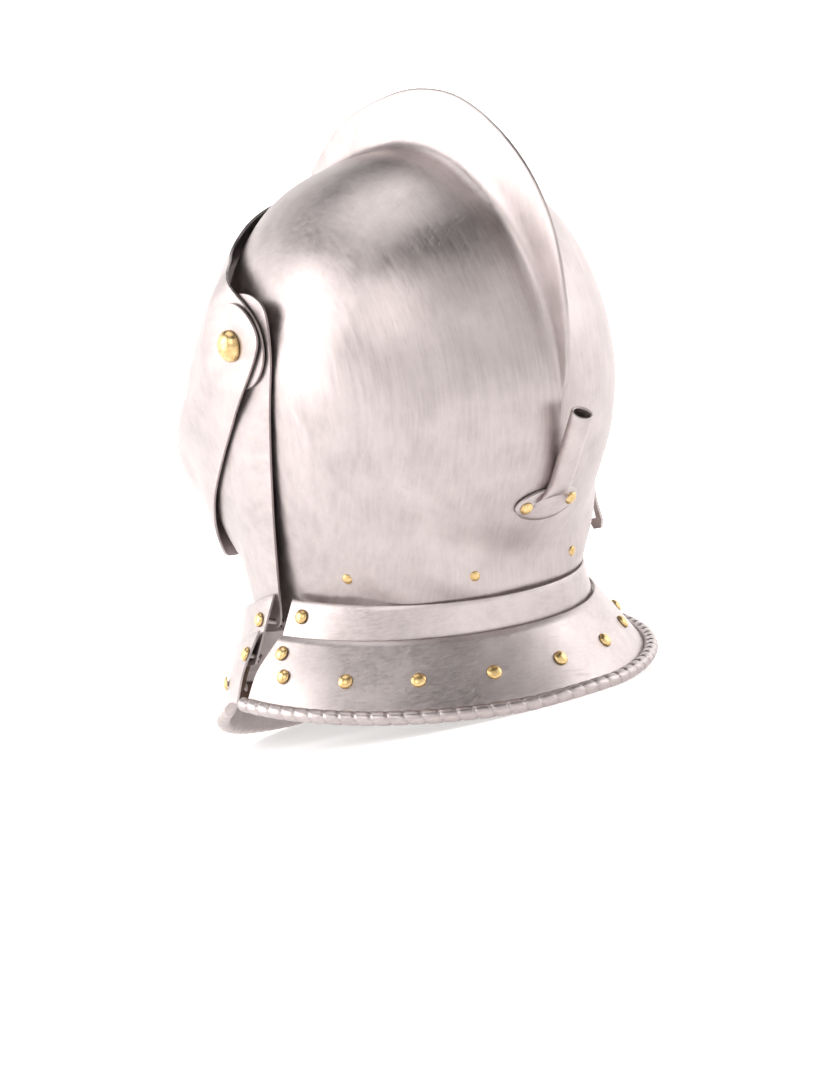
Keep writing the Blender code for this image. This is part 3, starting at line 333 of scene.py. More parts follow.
def linen_material():
    n = Nodes("linen_quilted")
    warp = n.wave(n.mapping((1.0, 0.25, 0.25)), 330.0, 1.2)
    weft = n.wave(n.mapping((0.1, 0.3, 1.0), (0.0, 1.5708, 0.0)), 330.0, 1.2)
    slubs = n.noise(n.mapping((180.0, 180.0, 900.0)), 1.0, 4.0, 0.65)
    stain = n.noise(n.mapping((24.0, 24.0, 24.0)), 1.0, 5.0, 0.6)
    tone = n.mix(n.ramp(stain, [(0.3, 0.0), (0.7, 1.0)]), (0.43, 0.36, 0.26), (0.66, 0.59, 0.47))
    tone = n.mix(n.ramp(slubs, [(0.35, 0.5), (0.6, 0.0)]), tone, (0.36, 0.29, 0.20))
    weave = n.sums(warp, weft)
    gloss = n.ramp(stain, [(0.3, 0.86), (0.7, 0.96)])
    normal = n.bump(weave, 0.00025, 0.6)
    normal = n.bump(slubs, 0.0003, 0.5, normal)
    return n.finish(tone, gloss, normal, Sheen_Weight=0.25, Sheen_Roughness=0.5, Specular_IOR_Level=0.25)


def thread_material():
    n = Nodes("waxed_thread")
    twist = n.noise(n.mapping((1500.0, 1500.0, 1500.0)), 1.0, 2.0, 0.5)
    tone = n.mix(n.ramp(twist, [(0.3, 0.0), (0.7, 1.0)]), (0.42, 0.34, 0.22), (0.68, 0.58, 0.42))
    gloss = n.ramp(twist, [(0.3, 0.6), (0.7, 0.8)])
    return n.finish(tone, gloss, n.bump(twist, 0.0001, 0.6), Specular_IOR_Level=0.3)


STEEL = steel_material("steel_brushed", (700.0, 150.0, 34.0))
STEEL_FACE = steel_material("steel_brushed_face", (700.0, 60.0, 150.0))
STEEL_RIM = steel_material("steel_brushed_rim", (220.0, 220.0, 900.0), rough=(0.28, 0.38))
BRASS = brass_material()
LEATHER = leather_material()
LINEN = linen_material()
THREAD = thread_material()


# ---------------------------------------------------------------- meshes
def piece(name, points, faces, material, smooth=40.0, clean=True):
    """A mesh piece from points in the design's coordinates."""
    mesh = bpy.data.meshes.new(name)
    shifted = np.asarray([tuple(p) for p in points], float) + (0.0, CENTRE_SHIFT, 0.0)
    mesh.from_pydata([tuple(p) for p in shifted], [], [tuple(int(i) for i in f) for f in faces])
    if clean:
        work = bmesh.new()
        work.from_mesh(mesh)
        bmesh.ops.recalc_face_normals(work, faces=work.faces)
        work.to_mesh(mesh)
        work.free()
    made = bpy.data.objects.new(name, mesh)
    bpy.context.scene.collection.objects.link(made)
    if material is not None:
        mesh.materials.append(material)
    mesh.shade_smooth()
    if smooth:
        mesh.set_sharp_from_angle(angle=math.radians(smooth))
    return made


def wear(made, node, body):
    """The piece stands for a CAD node, on its body."""
    nodes = [node] if isinstance(node, str) else list(node)
    if nodes:
        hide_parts(*nodes)
    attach(made, body)
    return made


def settle(made, *steps):
    """Applies the modifiers and throws the cutters away."""
    bpy.context.view_layer.update()
    graph = bpy.context.evaluated_depsgraph_get()
    mesh = bpy.data.meshes.new_from_object(made.evaluated_get(graph))
    old = made.data
    made.modifiers.clear()
    made.data = mesh
    bpy.data.meshes.remove(old)
    for cutter in steps:
        bpy.data.objects.remove(cutter)
    return made


def cut(target, cutter, operation):
    step = target.modifiers.new(cutter.name, "BOOLEAN")
    step.operation = operation
    step.solver = "EXACT"
    step.object = cutter


def soften(made, width=0.00028):
    """Rounds the sheet's cut edges, so that they catch the light."""
    step = made.modifiers.new("edge", "BEVEL")
    step.width = width
    step.segments = 2
    step.limit_method = "ANGLE"
    step.angle_limit = math.radians(50.0)
    step.use_clamp_overlap = True
    settle(made)
    made.data.shade_smooth()
    made.data.set_sharp_from_angle(angle=math.radians(62.0))
    step = made.modifiers.new("normals", "WEIGHTED_NORMAL")
    step.keep_sharp = True
    settle(made)
    return made


def spline(xs, ys, x):
    """Monotone cubic interpolation of ys over xs, flat beyond the ends."""
    xs = np.asarray(xs, float)
    ys = np.asarray(ys, float)
    h = np.diff(xs)
    d = np.diff(ys) / h
    m = np.zeros_like(ys)
    m[1:-1] = np.where(d[:-1] * d[1:] > 0, 2 * d[:-1] * d[1:] / (d[:-1] + d[1:] + 1e-30), 0.0)
    x = np.clip(x, xs[0], xs[-1])
    i = np.clip(np.searchsorted(xs, x, side="right") - 1, 0, len(h) - 1)
    t = (x - xs[i]) / h[i]
    a = ys[i] * (1 + 2 * t) * (1 - t) ** 2 + h[i] * m[i] * t * (1 - t) ** 2
    b = ys[i + 1] * t**2 * (3 - 2 * t) + h[i] * m[i + 1] * t**2 * (t - 1)
    return a + b


def closed_curve(points, count):
    """Points evenly spread along a closed Catmull-Rom curve."""
    p = np.asarray(points, float)
    fine = []
    for i in range(len(p)):
        a, b, c, d = p[i - 1], p[i], p[(i + 1) % len(p)], p[(i + 2) % len(p)]
        for t in np.linspace(0.0, 1.0, 24, endpoint=False):
            square = (2 * a - 5 * b + 4 * c - d) * t**2
            fine.append(0.5 * (2 * b + (c - a) * t + square + (3 * b - a - 3 * c + d) * t**3))
    fine = np.array(fine + [fine[0]])
    run = np.concatenate([[0.0], np.cumsum(np.linalg.norm(np.diff(fine, axis=0), axis=1))])
    at = np.linspace(0.0, run[-1], count, endpoint=False)
    return np.stack([np.interp(at, run, fine[:, 0]), np.interp(at, run, fine[:, 1])], 1)


def egg(rows):
    """A closed surface from rows that all start at one pole and end at the other."""
    rows = np.asarray(rows)
    count, wide = rows.shape[0], rows.shape[1] - 2
    points = [rows[0, 0], rows[0, -1]]
    points += [p for row in rows for p in row[1:-1]]
    faces = []
    for i in range(count):
        a = 2 + i * wide
        b = 2 + ((i + 1) % count) * wide
        faces.append((0, a, b))
        faces += [(a + j, a + j + 1, b + j + 1, b + j) for j in range(wide - 1)]
        faces.append((a + wide - 1, 1, b + wide - 1))
    return points, faces


def comb_height(angle):
    inside = COMB_ANGLES[0] < angle < COMB_ANGLES[-1]
    return float(spline(COMB_ANGLES, COMB_HEIGHTS, angle)) if inside else 0.0


def skull_rows(inset, count, comb, columns):
    """Rows of the skull surface, moved inwards by inset: a length, or a function of the point."""
    centre = np.array(SKULL_CENTRE)
    deep = inset if callable(inset) else lambda x, y, z: inset
    rows = []
    for point in closed_curve(SKULL_PROFILE, count):
        reach = np.linalg.norm(point - centre)
        away = (point - centre) / reach
        angle = math.degrees(math.atan2(away[1], -away[0])) % 360.0
        below = max(0.0, abs((angle - 90.0 + 180.0) % 360.0 - 180.0) - 110.0)
        power = 2.0 + 0.10 * min(1.0, below / 50.0)
        rise = comb * comb_height(angle)
        row = []
        for side in columns:
            flat = (1.0 - abs(side) ** power) ** (1.0 / power)
            x = abs(side) * SKULL_HALF_WIDTH
            d = deep(math.copysign(x, side), *(centre + away * reach * flat))
            out = (reach - d) * flat + rise * float(np.interp(x, COMB_FLANK, COMB_SHARES))
            wide = abs(side) * (SKULL_HALF_WIDTH - d)
            row.append((math.copysign(wide, side), centre[0] + away[0] * out, centre[1] + away[1] * out))
        rows.append(row)
    return rows


def face_reach(angle):
    return float(spline(FACE_ANGLES, FACE_REACH, angle))


def ventail_edge_angle(r):
    return float(np.interp(r, VENTAIL_EDGE_REACH, VENTAIL_EDGE_ANGLES))


def ventail_reach(angle, share):
    return face_reach(angle)


def visor_reach(angle, share):
    """The visor follows the face down to the ventail's edge, then runs straight on beneath it."""
    own = face_reach(angle)
    edge = ventail_edge_angle(own * share)
    if -70.0 < angle < edge:
        own = face_reach(edge)
    return own - float(np.interp(angle, VISOR_INSET_ANGLES, VISOR_INSETS))


def bevor_reach(angle, share):
    return float(spline(BEVOR_ANGLES, BEVOR_REACH, angle))


def bevor_power(angle):
    return float(spline(BEVOR_ANGLES, BEVOR_POWERS, angle))


def face_power(angle):
    return FACE_POWER


def face_point(angle, share, half, reach, power):
    """A point of a shell about the pivot axis: a round cap near the pivot that blends into the plate."""
    r = reach * share
    plate = half * (1.0 - share**power) ** (1.0 / power)
    cap = half * (1.0 - min(1.0, r / 0.22) ** 2.1) ** (1.0 / 2.1)
    w = min(1.0, max(0.0, (r - 0.022) / 0.028))
    w = w * w * (3.0 - 2.0 * w)
    x = cap * (1.0 - w) + plate * w
    t = math.radians(angle)
    return x, PIVOT_Y - r * math.cos(t), PIVOT_Z + r * math.sin(t)


def shell_rows(half, reach_at, power_at, angles, shares, thin=0.0):
    rows = []
    for angle in angles:
        power = power_at(angle)
        right = [face_point(angle, s, half, reach_at(angle, s) - thin, power) for s in shares]
        rows.append(right + [(-x, y, z) for x, y, z in reversed(right[:-1])])
    return rows


def prism(name, outline, half=0.16):
    count = len(outline)
    points = [(-half, y, z) for y, z in outline] + [(half, y, z) for y, z in outline]
    faces = [tuple(range(count)), tuple(range(2 * count - 1, count - 1, -1))]
    faces += [(i, (i + 1) % count, count + (i + 1) % count, count + i) for i in range(count)]
    return piece(name, points, faces, None)


def rounded(outline, steps=9, reach=0.010):
    """The outline with every corner replaced by a short curve through its neighbours."""
    p = np.asarray(outline, float)
    made = []
    for i in range(len(p)):
        a, b, c = p[i - 1], p[i], p[(i + 1) % len(p)]
        into = b + (a - b) * min(0.5, reach / max(1e-6, np.linalg.norm(a - b)))
        out = b + (c - b) * min(0.5, reach / max(1e-6, np.linalg.norm(c - b)))
        for t in np.linspace(0.0, 1.0, steps):
            made.append(into * (1 - t) ** 2 + 2 * b * t * (1 - t) + out * t**2)
    kept = [made[0]]
    for q in made[1:]:
        if np.linalg.norm(q - kept[-1]) > 0.0006:
            kept.append(q)
    return [tuple(q) for q in kept]


def lathe(profile, segments):
    """A solid of revolution about local Z: profile runs from the top centre to the bottom centre."""
    points = [(0.0, 0.0, profile[0][1])]
    rings = profile[1:-1]
    for r, z in rings:
        points += [(r * math.cos(2 * math.pi * k / segments), r * math.sin(2 * math.pi * k / segments), z)
                   for k in range(segments)]
    points.append((0.0, 0.0, profile[-1][1]))
    last = len(points) - 1
    faces = []
    for k in range(segments):
        n = (k + 1) % segments
        faces.append((0, 1 + k, 1 + n))
        for i in range(len(rings) - 1):
            a = 1 + i * segments
            faces.append((a + k, a + segments + k, a + segments + n, a + n))
        a = 1 + (len(rings) - 1) * segments
        faces.append((a + k, last, a + n))
    return points, faces


def placed(points, at, axis):
    """Points turned so that local Z lies along the axis, and moved to the point."""
    turn = Vector((0.0, 0.0, 1.0)).rotation_difference(Vector(axis)).to_matrix()
    return [tuple(turn @ Vector(p) + Vector(at)) for p in points]


def rods(name, spots, radius, reach):
    points, faces = [], []
    for at, axis in spots:
        rod, rod_faces = lathe([(0.0, reach), (radius, reach), (radius, -reach), (0.0, -reach)], 24)
        start = len(points)
        points += placed(rod, at, axis)
        faces += [tuple(i + start for i in f) for f in rod_faces]
    return piece(name, points, faces, None)


def tree_of(points, faces):
    return BVHTree.FromPolygons([Vector(p) for p in points], [tuple(f) for f in faces])


def spot_towards(tree, centre, target):
    """Where a line from outside through target to centre first meets the surface, and the normal there."""
    way = (Vector(centre) - Vector(target)).normalized()
    at, normal, _, _ = tree.ray_cast(Vector(target) - way * 0.1, way)
    if normal.dot(way) > 0:
        normal = -normal
    return at, normal


def node_points(name):
    """The points of a CAD node, each once, in the design's coordinates."""
    points = np.array([v.co for v in NODES[name].data.vertices], float) - (0.0, CENTRE_SHIFT, 0.0)
    return points[np.unique(np.round(points, 6), axis=0, return_index=True)[1]]


# ---------------------------------------------------------------- shells
SIDES = list(-np.cos(np.linspace(0.0, math.pi / 2, 34))[:-3])
COMB_COLUMNS = [x / SKULL_HALF_WIDTH for x in COMB_FLANK]
OUTER_COLUMNS = SIDES + [-x for x in reversed(COMB_COLUMNS)] + COMB_COLUMNS[1:]
OUTER_COLUMNS += [-s for s in reversed(SIDES)]
INNER_COLUMNS = SIDES + [-0.05, 0.05] + [-s for s in reversed(SIDES)]
SHARES = list(np.sin(np.linspace(0.0, math.pi / 2, 34)))
FACE_STEPS = list(np.arange(-180.0, 179.0, 3.0))


def make_skull():
    outer = egg(skull_rows(0.0, 170, 1.0, OUTER_COLUMNS))
    inner = egg(skull_rows(SHEET, 90, 0.0, INNER_COLUMNS))
    made = piece("skull_shell", *outer, STEEL)
    inside = piece("cut_inside", *inner, None)
    side = prism("cut_side", rounded(SKULL_OUTLINE))
    cut(made, inside, "DIFFERENCE")
    cut(made, side, "INTERSECT")
    settle(made, inside, side)
    soften(made)
    return wear(made, "skull", "skull")


def make_shell(name, half, reach, power, outline, body, extra=()):
    outer = egg(shell_rows(half, reach, power, FACE_STEPS, SHARES))
    inner = egg(shell_rows(half - SHEET, reach, power, FACE_STEPS, SHARES, SHEET * 1.25))
    made = piece(name + "_shell", *outer, STEEL_FACE)
    cutters = [piece("cut_inside", *inner, None), prism("cut_side", rounded(outline)), *extra]
    for cutter, operation in zip(cutters, ["DIFFERENCE", "INTERSECT"] + ["DIFFERENCE"] * len(extra)):
        cut(made, cutter, operation)
    settle(made, *cutters)
    soften(made)
    return wear(made, name, body)


def sight_cutters():
    made = []
    for side, word in ((1, "left"), (-1, "right")):
        corners = []
        for x in (side * SIGHT_INNER, side * SIGHT_OUTER):
            rise = 0.0035 if abs(x) == SIGHT_INNER else 0.0020
            for y in (-0.20, -0.03):
                lift = (y + 0.115) * 0.25
                corners += [(x, y, SIGHT_Z - rise - lift), (x, y, SIGHT_Z + rise - lift)]
        faces = [(0, 1, 3, 2), (4, 6, 7, 5), (0, 2, 6, 4), (1, 5, 7, 3), (0, 4, 5, 1), (2, 3, 7, 6)]
        made.append(piece("cut_sight_" + word, corners, faces, None))
    return made


def comb_slot_cutter():
    points = []
    for x in (-COMB_SLOT_WIDTH / 2, COMB_SLOT_WIDTH / 2):
        for angle, r in ((COMB_SLOT_LOW, 0.07), (COMB_SLOT_LOW, 0.14), (100.0, 0.14), (100.0, 0.07)):
            t = math.radians(angle)
            points.append((x, PIVOT_Y - r * math.cos(t), PIVOT_Z + r * math.sin(t)))
    faces = [(3, 2, 1, 0), (4, 5, 6, 7), (0, 1, 5, 4), (1, 2, 6, 5), (2, 3, 7, 6), (3, 0, 4, 7)]
    return piece("cut_comb_slot", points, faces, None)


def breath_cutter():
    """A staggered field of breathing holes low on the right side of the ventail."""
    tree = tree_of(*egg(shell_rows(VENTAIL_HALF_WIDTH, ventail_reach, face_power, FACE_STEPS, SHARES)))
    spots = []
    for row in range(3):
        for k in range(4):
            angle = -24.5 - 4.6 * row
            share = 0.50 + 0.085 * k + (0.04 if row == 1 else 0.0)
            x, y, z = face_point(angle, share, VENTAIL_HALF_WIDTH, face_reach(angle), FACE_POWER)
            spots.append(spot_towards(tree, (0.0, PIVOT_Y, PIVOT_Z - 0.02), (-x, y, z)))
    return rods("cut_breaths", spots, 0.0025, 0.006)


# ---------------------------------------------------------------- lames and rims
def rear_point(ring, angle):
    wide, long, centre, z = ring
    t = math.radians(angle)
    y = centre + long * math.cos(t)
    tilt = math.radians(REAR_TILT)
    return (
        wide * math.sin(t),
        TILT_PIVOT[0] + y * math.cos(tilt) + z * math.sin(tilt),
        TILT_PIVOT[1] - y * math.sin(tilt) + z * math.cos(tilt),
    )


def front_point(ring, angle):
    wide, long, centre, side_z, front_z = ring
    t = math.radians(angle)
    share = max(0.0, math.cos(t))
    return wide * math.sin(t), centre - long * math.cos(t), side_z + (front_z - side_z) * share


def outward(along, tangent, at):
    normal = along.cross(tangent).normalized()
    return normal if normal.x * at.x + normal.y * at.y > 0 else -normal


def fine_path(path, count):
    """The path in more points, with the corners at its inner points eased."""
    run = np.concatenate([[0.0], np.cumsum([(b - a).length for a, b in zip(path, path[1:])])])
    at = np.linspace(0.0, run[-1], count)
    fine = np.stack([np.interp(at, run, [p[i] for p in path]) for i in range(3)], 1)
    for _ in range(2):
        fine[1:-1] = (fine[:-2] + 2 * fine[1:-1] + fine[2:]) / 4
    return [Vector(p) for p in fine]


def rope(turn, run):
    """Share of the bead's radius at an angle round it and a distance along it: slanting cuts."""
    phase = (run / ROPE_PITCH + ROPE_LEAN * turn / math.pi) % 1.0
    off = min(phase, 1.0 - phase) * ROPE_PITCH
    cut_depth, cut_width = ROPE_CUT
    swell_depth, swell_width = ROPE_SWELL
    dip = cut_depth * math.exp(-((off / cut_width) ** 2))
    return 1.0 - dip - swell_depth * math.exp(-((off / swell_width) ** 2))


def lame_mesh(rings, ends, point_at, steps, bead=0.0, thickness=SHEET, span=None, shift=0.0):
    """A curved plate swept from end to end; with a bead, its lower edge is rolled and roped."""
    stations = []
    run = 0.0
    last = None
    for k in range(steps + 1):
        q = -1.0 + 2.0 * k / steps
        path = [Vector(point_at(ring, end * q)) for ring, end in zip(rings, ends)]
        ahead = Vector(point_at(rings[0], ends[0] * (q + 0.01)))
        behind = Vector(point_at(rings[0], ends[0] * (q - 0.01)))
        tangent = (ahead - behind).normalized()
        centre = None
        if bead:
            path[-1].z = max(path[-1].z, BEAD_RADIUS - REST_FLAT)
            centre = path[-1].copy()
            run += (centre - last).length if last else 0.0
            last = centre
            along = (path[-1] - path[-2]).normalized()
            path[-1] = centre - outward(along, tangent, centre) * (bead - SHEET / 2)
        path = fine_path(path, 12)
        if span:
            path = path[round(span[0] * 11): round(span[1] * 11) + 1]
        outer, inner = [], []
        for i, p in enumerate(path):
            along = (path[min(i + 1, len(path) - 1)] - path[max(i - 1, 0)]).normalized()
            side = outward(along, tangent, p)
            outer.append(p + side * (shift + thickness / 2))
            inner.append(p + side * (shift - thickness / 2))
        top = (path[0] - path[1]).normalized() * thickness * 0.35
        crown = [(outer[0] * 3 + inner[0]) / 4 + top, (outer[0] + inner[0] * 3) / 4 + top]
        if not bead or span:
            low = (path[-1] - path[-2]).normalized() * thickness * 0.35
            foot = [(outer[-1] * 3 + inner[-1]) / 4 + low, (outer[-1] + inner[-1] * 3) / 4 + low]
            stations.append(outer + foot + inner[::-1] + crown[::-1])
            continue
        along = (path[-1] - path[-2]).normalized()
        normal = outward(along, tangent, centre)
        start = -math.asin((bead - thickness) / bead)
        ring = []
        for j in range(26):
            a = start + (1.5 * math.pi - start) * j / 25
            r = bead * (rope(a, run) if 0.12 < j / 25 < 0.97 else 1.0)
            spot = centre - along * math.cos(a) * r + normal * math.sin(a) * r
            ring.append(Vector((spot.x, spot.y, max(0.0, spot.z))))
        stations.append(outer[:-1] + ring + inner[:-1][::-1] + crown[::-1])
    count = len(stations[0])
    points = [p for ring in stations for p in ring]
    faces = [tuple(range(count - 1, -1, -1))]
    for i in range(len(stations) - 1):
        a, b = i * count, (i + 1) * count
        faces += [(a + j, a + (j + 1) % count, b + (j + 1) % count, b + j) for j in range(count)]
    start = (len(stations) - 1) * count
    faces.append(tuple(range(start, start + count)))
    return points, faces


def make_lame(name, shape, point_at, body, steps, bead=0.0):
    made = piece(name + "_steel", *lame_mesh(*shape, point_at, steps, bead), STEEL_RIM, 55.0)
    return wear(made, name, body)


def make_band(name, shape, point_at, body):
    shift = -(SHEET + BAND_THICKNESS) / 2 - BAND_GAP
    mesh = lame_mesh(*shape, point_at, 140, BEAD_RADIUS, BAND_THICKNESS, (0.41, 0.70), shift)
    made = piece(name + "_leather", *mesh, LEATHER, 60.0)
    return wear(made, name, body)


# ---------------------------------------------------------------- rivets and turned pieces
def rivet_frame(name):
    """(point on the top of the head, outward axis) of a CAD rivet, from its shape of revolution."""
    points = node_points(name)
    middle = points.mean(0)
    values, axes = np.linalg.eigh(np.cov((points - middle).T))
    odd = 2 if values[2] - values[1] > values[1] - values[0] else 0
    axis = axes[:, odd]
    away = middle - np.array((0.0, 0.030, middle[2] - 0.02))
    if axis @ away < 0:
        axis = -axis
    along = (points - middle) @ axis
    return Vector(middle + axis * along.max()), Vector(axis)


def dome(height, radius, steps=9):
    """The profile of a hand-set head: a low dome with a rounded edge, from its top to its edge."""
    made = [(0.0, height)]
    for k in range(1, steps + 1):
        t = (math.pi / 2) * k / steps
        made.append((radius * math.sin(t) ** 0.92, height * (0.10 + 0.90 * math.cos(t) ** 1.15)))
    return made + [(radius * 0.985, 0.0), (radius * 0.5, -0.00005), (0.0, -0.00005)]


def make_rivet(node, body, radius, height):
    """A brass head and, between the plates, a duller shank and its clenched end."""
    top, axis = rivet_frame(node)
    length = float(((node_points(node) - np.array(top)) @ np.array(axis)).min())
    profile = [(r, z - height) for r, z in dome(height, radius)]
    points, faces = lathe(profile, 36)
    shank = [(0.0, -height), (RIVET_SHANK, -height), (RIVET_SHANK, length + 0.0009)]
    shank += [(0.0025, length + 0.0008), (0.0021, length + 0.0001), (0.0, length)]
    more, its = lathe(shank, 20)
    head_faces = len(faces)
    faces += [tuple(i + len(points) for i in f) for f in its]
    made = piece(node + "_brass", placed(points + more, top, axis), faces, BRASS, 50.0)
    made.data.materials.append(STEEL_RIM)
    for face in made.data.polygons[head_faces:]:
        face.material_index = 1
    return wear(made, node, body)


def make_pivot(word, side):
    """The pivot bolt's wide brass dome over a plain shank."""
    node = "pivot_bolt_" + word
    top = np.array((side * (VENTAIL_HALF_WIDTH + PIVOT_STANDS_OUT), PIVOT_Y, PIVOT_Z))
    radius, height = PIVOT_HEAD
    profile = [(r, z - height) for r, z in dome(height, radius, 16)]
    points, faces = lathe(profile, 64)
    end = -(PIVOT_STANDS_OUT + VENTAIL_HALF_WIDTH - PIVOT_END)
    more, its = lathe([(0.0, -height), (PIVOT_SHANK, -height), (PIVOT_SHANK, end), (0.0, end)], 24)
    faces += [tuple(i + len(points) for i in f) for f in its]
    made = piece(node + "_brass", placed(points + more, top, (side, 0.0, 0.0)), faces, BRASS, 50.0)
    return wear(made, node, "skull")


def make_peg():
    """A turned peg with a waisted stem, to lift the visor by."""
    points = node_points("visor_lifting_peg")
    middle = points.mean(0)
    axis = np.linalg.eigh(np.cov((points - middle).T))[1][:, 2]
    if axis @ (middle - np.array((0.0, 0.030, 0.20))) < 0:
        axis = -axis
    top = Vector(middle + axis * ((points - middle) @ axis).max())
    knots = [
        (0.0024, 0.0144), (0.0034, 0.0134), (0.0037, 0.0122), (0.0031, 0.0102), (0.0020, 0.0088),
        (0.0016, 0.0070), (0.0015, 0.0045), (0.0020, 0.0032), (0.0040, 0.0022), (0.0050, 0.0012),
        (0.0050, 0.0003), (0.0014, 0.0003), (0.0014, -0.0015), (0.0026, -0.0015), (0.0022, -0.0023),
    ]
    profile = [(0.0, 0.0)] + [(r, z - 0.0150) for r, z in knots] + [(0.0, -0.0024 - 0.0150)]
    mesh = lathe(profile, 40)
    made = piece("visor_lifting_peg_brass", placed(mesh[0], top, axis), mesh[1], BRASS, 35.0)
    return wear(made, "visor_lifting_peg", "visor")


# ---------------------------------------------------------------- plume holder
def make_plume_holder():
    """One flowing skin: an oval foot on the nape that draws up into a tube, with a rolled lip and a bore."""
    tree = tree_of(*egg(skull_rows(0.0, 120, 0.0, INNER_COLUMNS)))
    aim = Vector((0.0, 0.020, 0.150))
    foot_at, foot_normal = spot_towards(tree, aim, Vector((0.0, *PLUME_FOOT)))
    foot_up = Vector((1.0, 0.0, 0.0)).cross(foot_normal).normalized()
    if foot_up.z < 0:
        foot_up = -foot_up
    start = foot_at + foot_normal * 0.0050 - foot_up * 0.0050
    tip = Vector((0.0, *PLUME_TIP))
    lean = (tip - start).normalized()
    length = (tip - start).length
    across = Vector((1.0, 0.0, 0.0))
    over = lean.cross(across).normalized()
    count = 64
    rings = []

    def foot_ring(share, lift):
        ring = []
        for k in range(count):
            a = 2 * math.pi * k / count
            x = PLUME_FOOT_SIZE[0] / 2 * share * math.cos(a)
            up = PLUME_FOOT_SIZE[1] / 2 * share * math.sin(a)
            at, normal = spot_towards(tree, aim, foot_at + across * x + foot_up * up)
            ring.append(at + normal * lift)
        return ring

    def tube_ring(radius, along):
        sign = 1.0 if over.dot(foot_up) > 0 else -1.0
        middle = start + lean * along
        return [
            middle + across * radius * math.cos(2 * math.pi * k / count)
            + over * sign * radius * math.sin(2 * math.pi * k / count)
            for k in range(count)
        ]

    foot = ((1.0, 0.0006), (1.0, 0.0017), (0.975, 0.0021), (0.80, 0.0022))
    rings += [foot_ring(share, lift) for share, lift in foot]
    base = foot_ring(0.62, 0.0024)
    neck = tube_ring(PLUME_RADIUS * 0.95, length * 0.34)
    for t in (0.0, 0.12, 0.26, 0.42, 0.58, 0.74, 0.88, 1.0):
        w = t * t * (3.0 - 2.0 * t)
        hug = 4 * t * (1 - t) * 0.30
        low = tube_ring(PLUME_RADIUS * 0.92, length * 0.16)
        rings.append([(a * (1 - w) + b * w) * (1 - hug) + c * hug for a, b, c in zip(base, neck, low)])
    rings += [tube_ring(PLUME_RADIUS * r, length * s) for r, s in ((0.95, 0.5), (0.97, 0.75), (0.98, 0.93))]
    middle = (PLUME_RADIUS + PLUME_BORE) / 2
    wall = PLUME_RADIUS - PLUME_BORE
    for k in range(7):
        a = math.pi * k / 6
        rings.append(tube_ring(middle + wall / 2 * math.cos(a), length - 0.0007 + 0.0007 * math.sin(a)))
    rings += [tube_ring(PLUME_BORE, length * s) for s in (0.9, 0.7, 0.42)]
    points = [p for ring in rings for p in ring]
    faces = []
    for i in range(len(rings) - 1):
        for k in range(count):
            n = (k + 1) % count
            faces.append((i * count + k, i * count + n, (i + 1) * count + n, (i + 1) * count + k))
    faces.append(tuple(range((len(rings) - 1) * count, len(rings) * count)))
    faces.append(tuple(range(count - 1, -1, -1)))
    made = piece("plume_holder_steel", points, faces, STEEL_RIM, 60.0)
    return wear(made, "plume_holder", "skull")


# ---------------------------------------------------------------- liner and strap
def quilt(x, y, z):
    """Depth of the padding: full between the seams that run down from the crown, thin along them."""
    turn = math.atan2(x, y - SKULL_CENTRE[0])
    puff = abs(math.sin(turn * 8.0)) ** 0.55
    ease = min(1.0, max(0.0, (math.hypot(x, y - SKULL_CENTRE[0]) - 0.010) / 0.020))
    band = min(1.0, abs(z - 0.205) / 0.010) ** 0.5
    return SHEET + 0.0006 + LINER_THICKNESS * (0.42 + 0.56 * puff * ease * (0.35 + 0.65 * band))


def make_liner():
    outer = egg(skull_rows(SHEET + 0.0006, 90, 0.0, INNER_COLUMNS))
    inner = egg(skull_rows(quilt, 220, 0.0, list(np.linspace(-1.0, 1.0, 121))))
    made = piece("head_liner_linen", *outer, LINEN)
    inside = piece("cut_inside", *inner, None)
    side = prism("cut_side", rounded(LINER_OUTLINE))
    cut(made, inside, "DIFFERENCE")
    cut(made, side, "INTERSECT")
    settle(made, inside, side)
    soften(made, 0.0012)
    wear(made, "head_liner", "skull")
    return made


def strap_place(t):
    """(middle point, outward direction, run direction) of the strap at an angle from its lowest point."""
    y, top, low, half = CHIN_STRAP
    middle = Vector((half * math.sin(t), y, top + (low - top) * math.cos(t)))
    out = Vector((math.sin(t) * (top - low), 0.0, -math.cos(t) * half)).normalized()
    return middle, out, Vector((0.0, 1.0, 0.0)).cross(out).normalized()


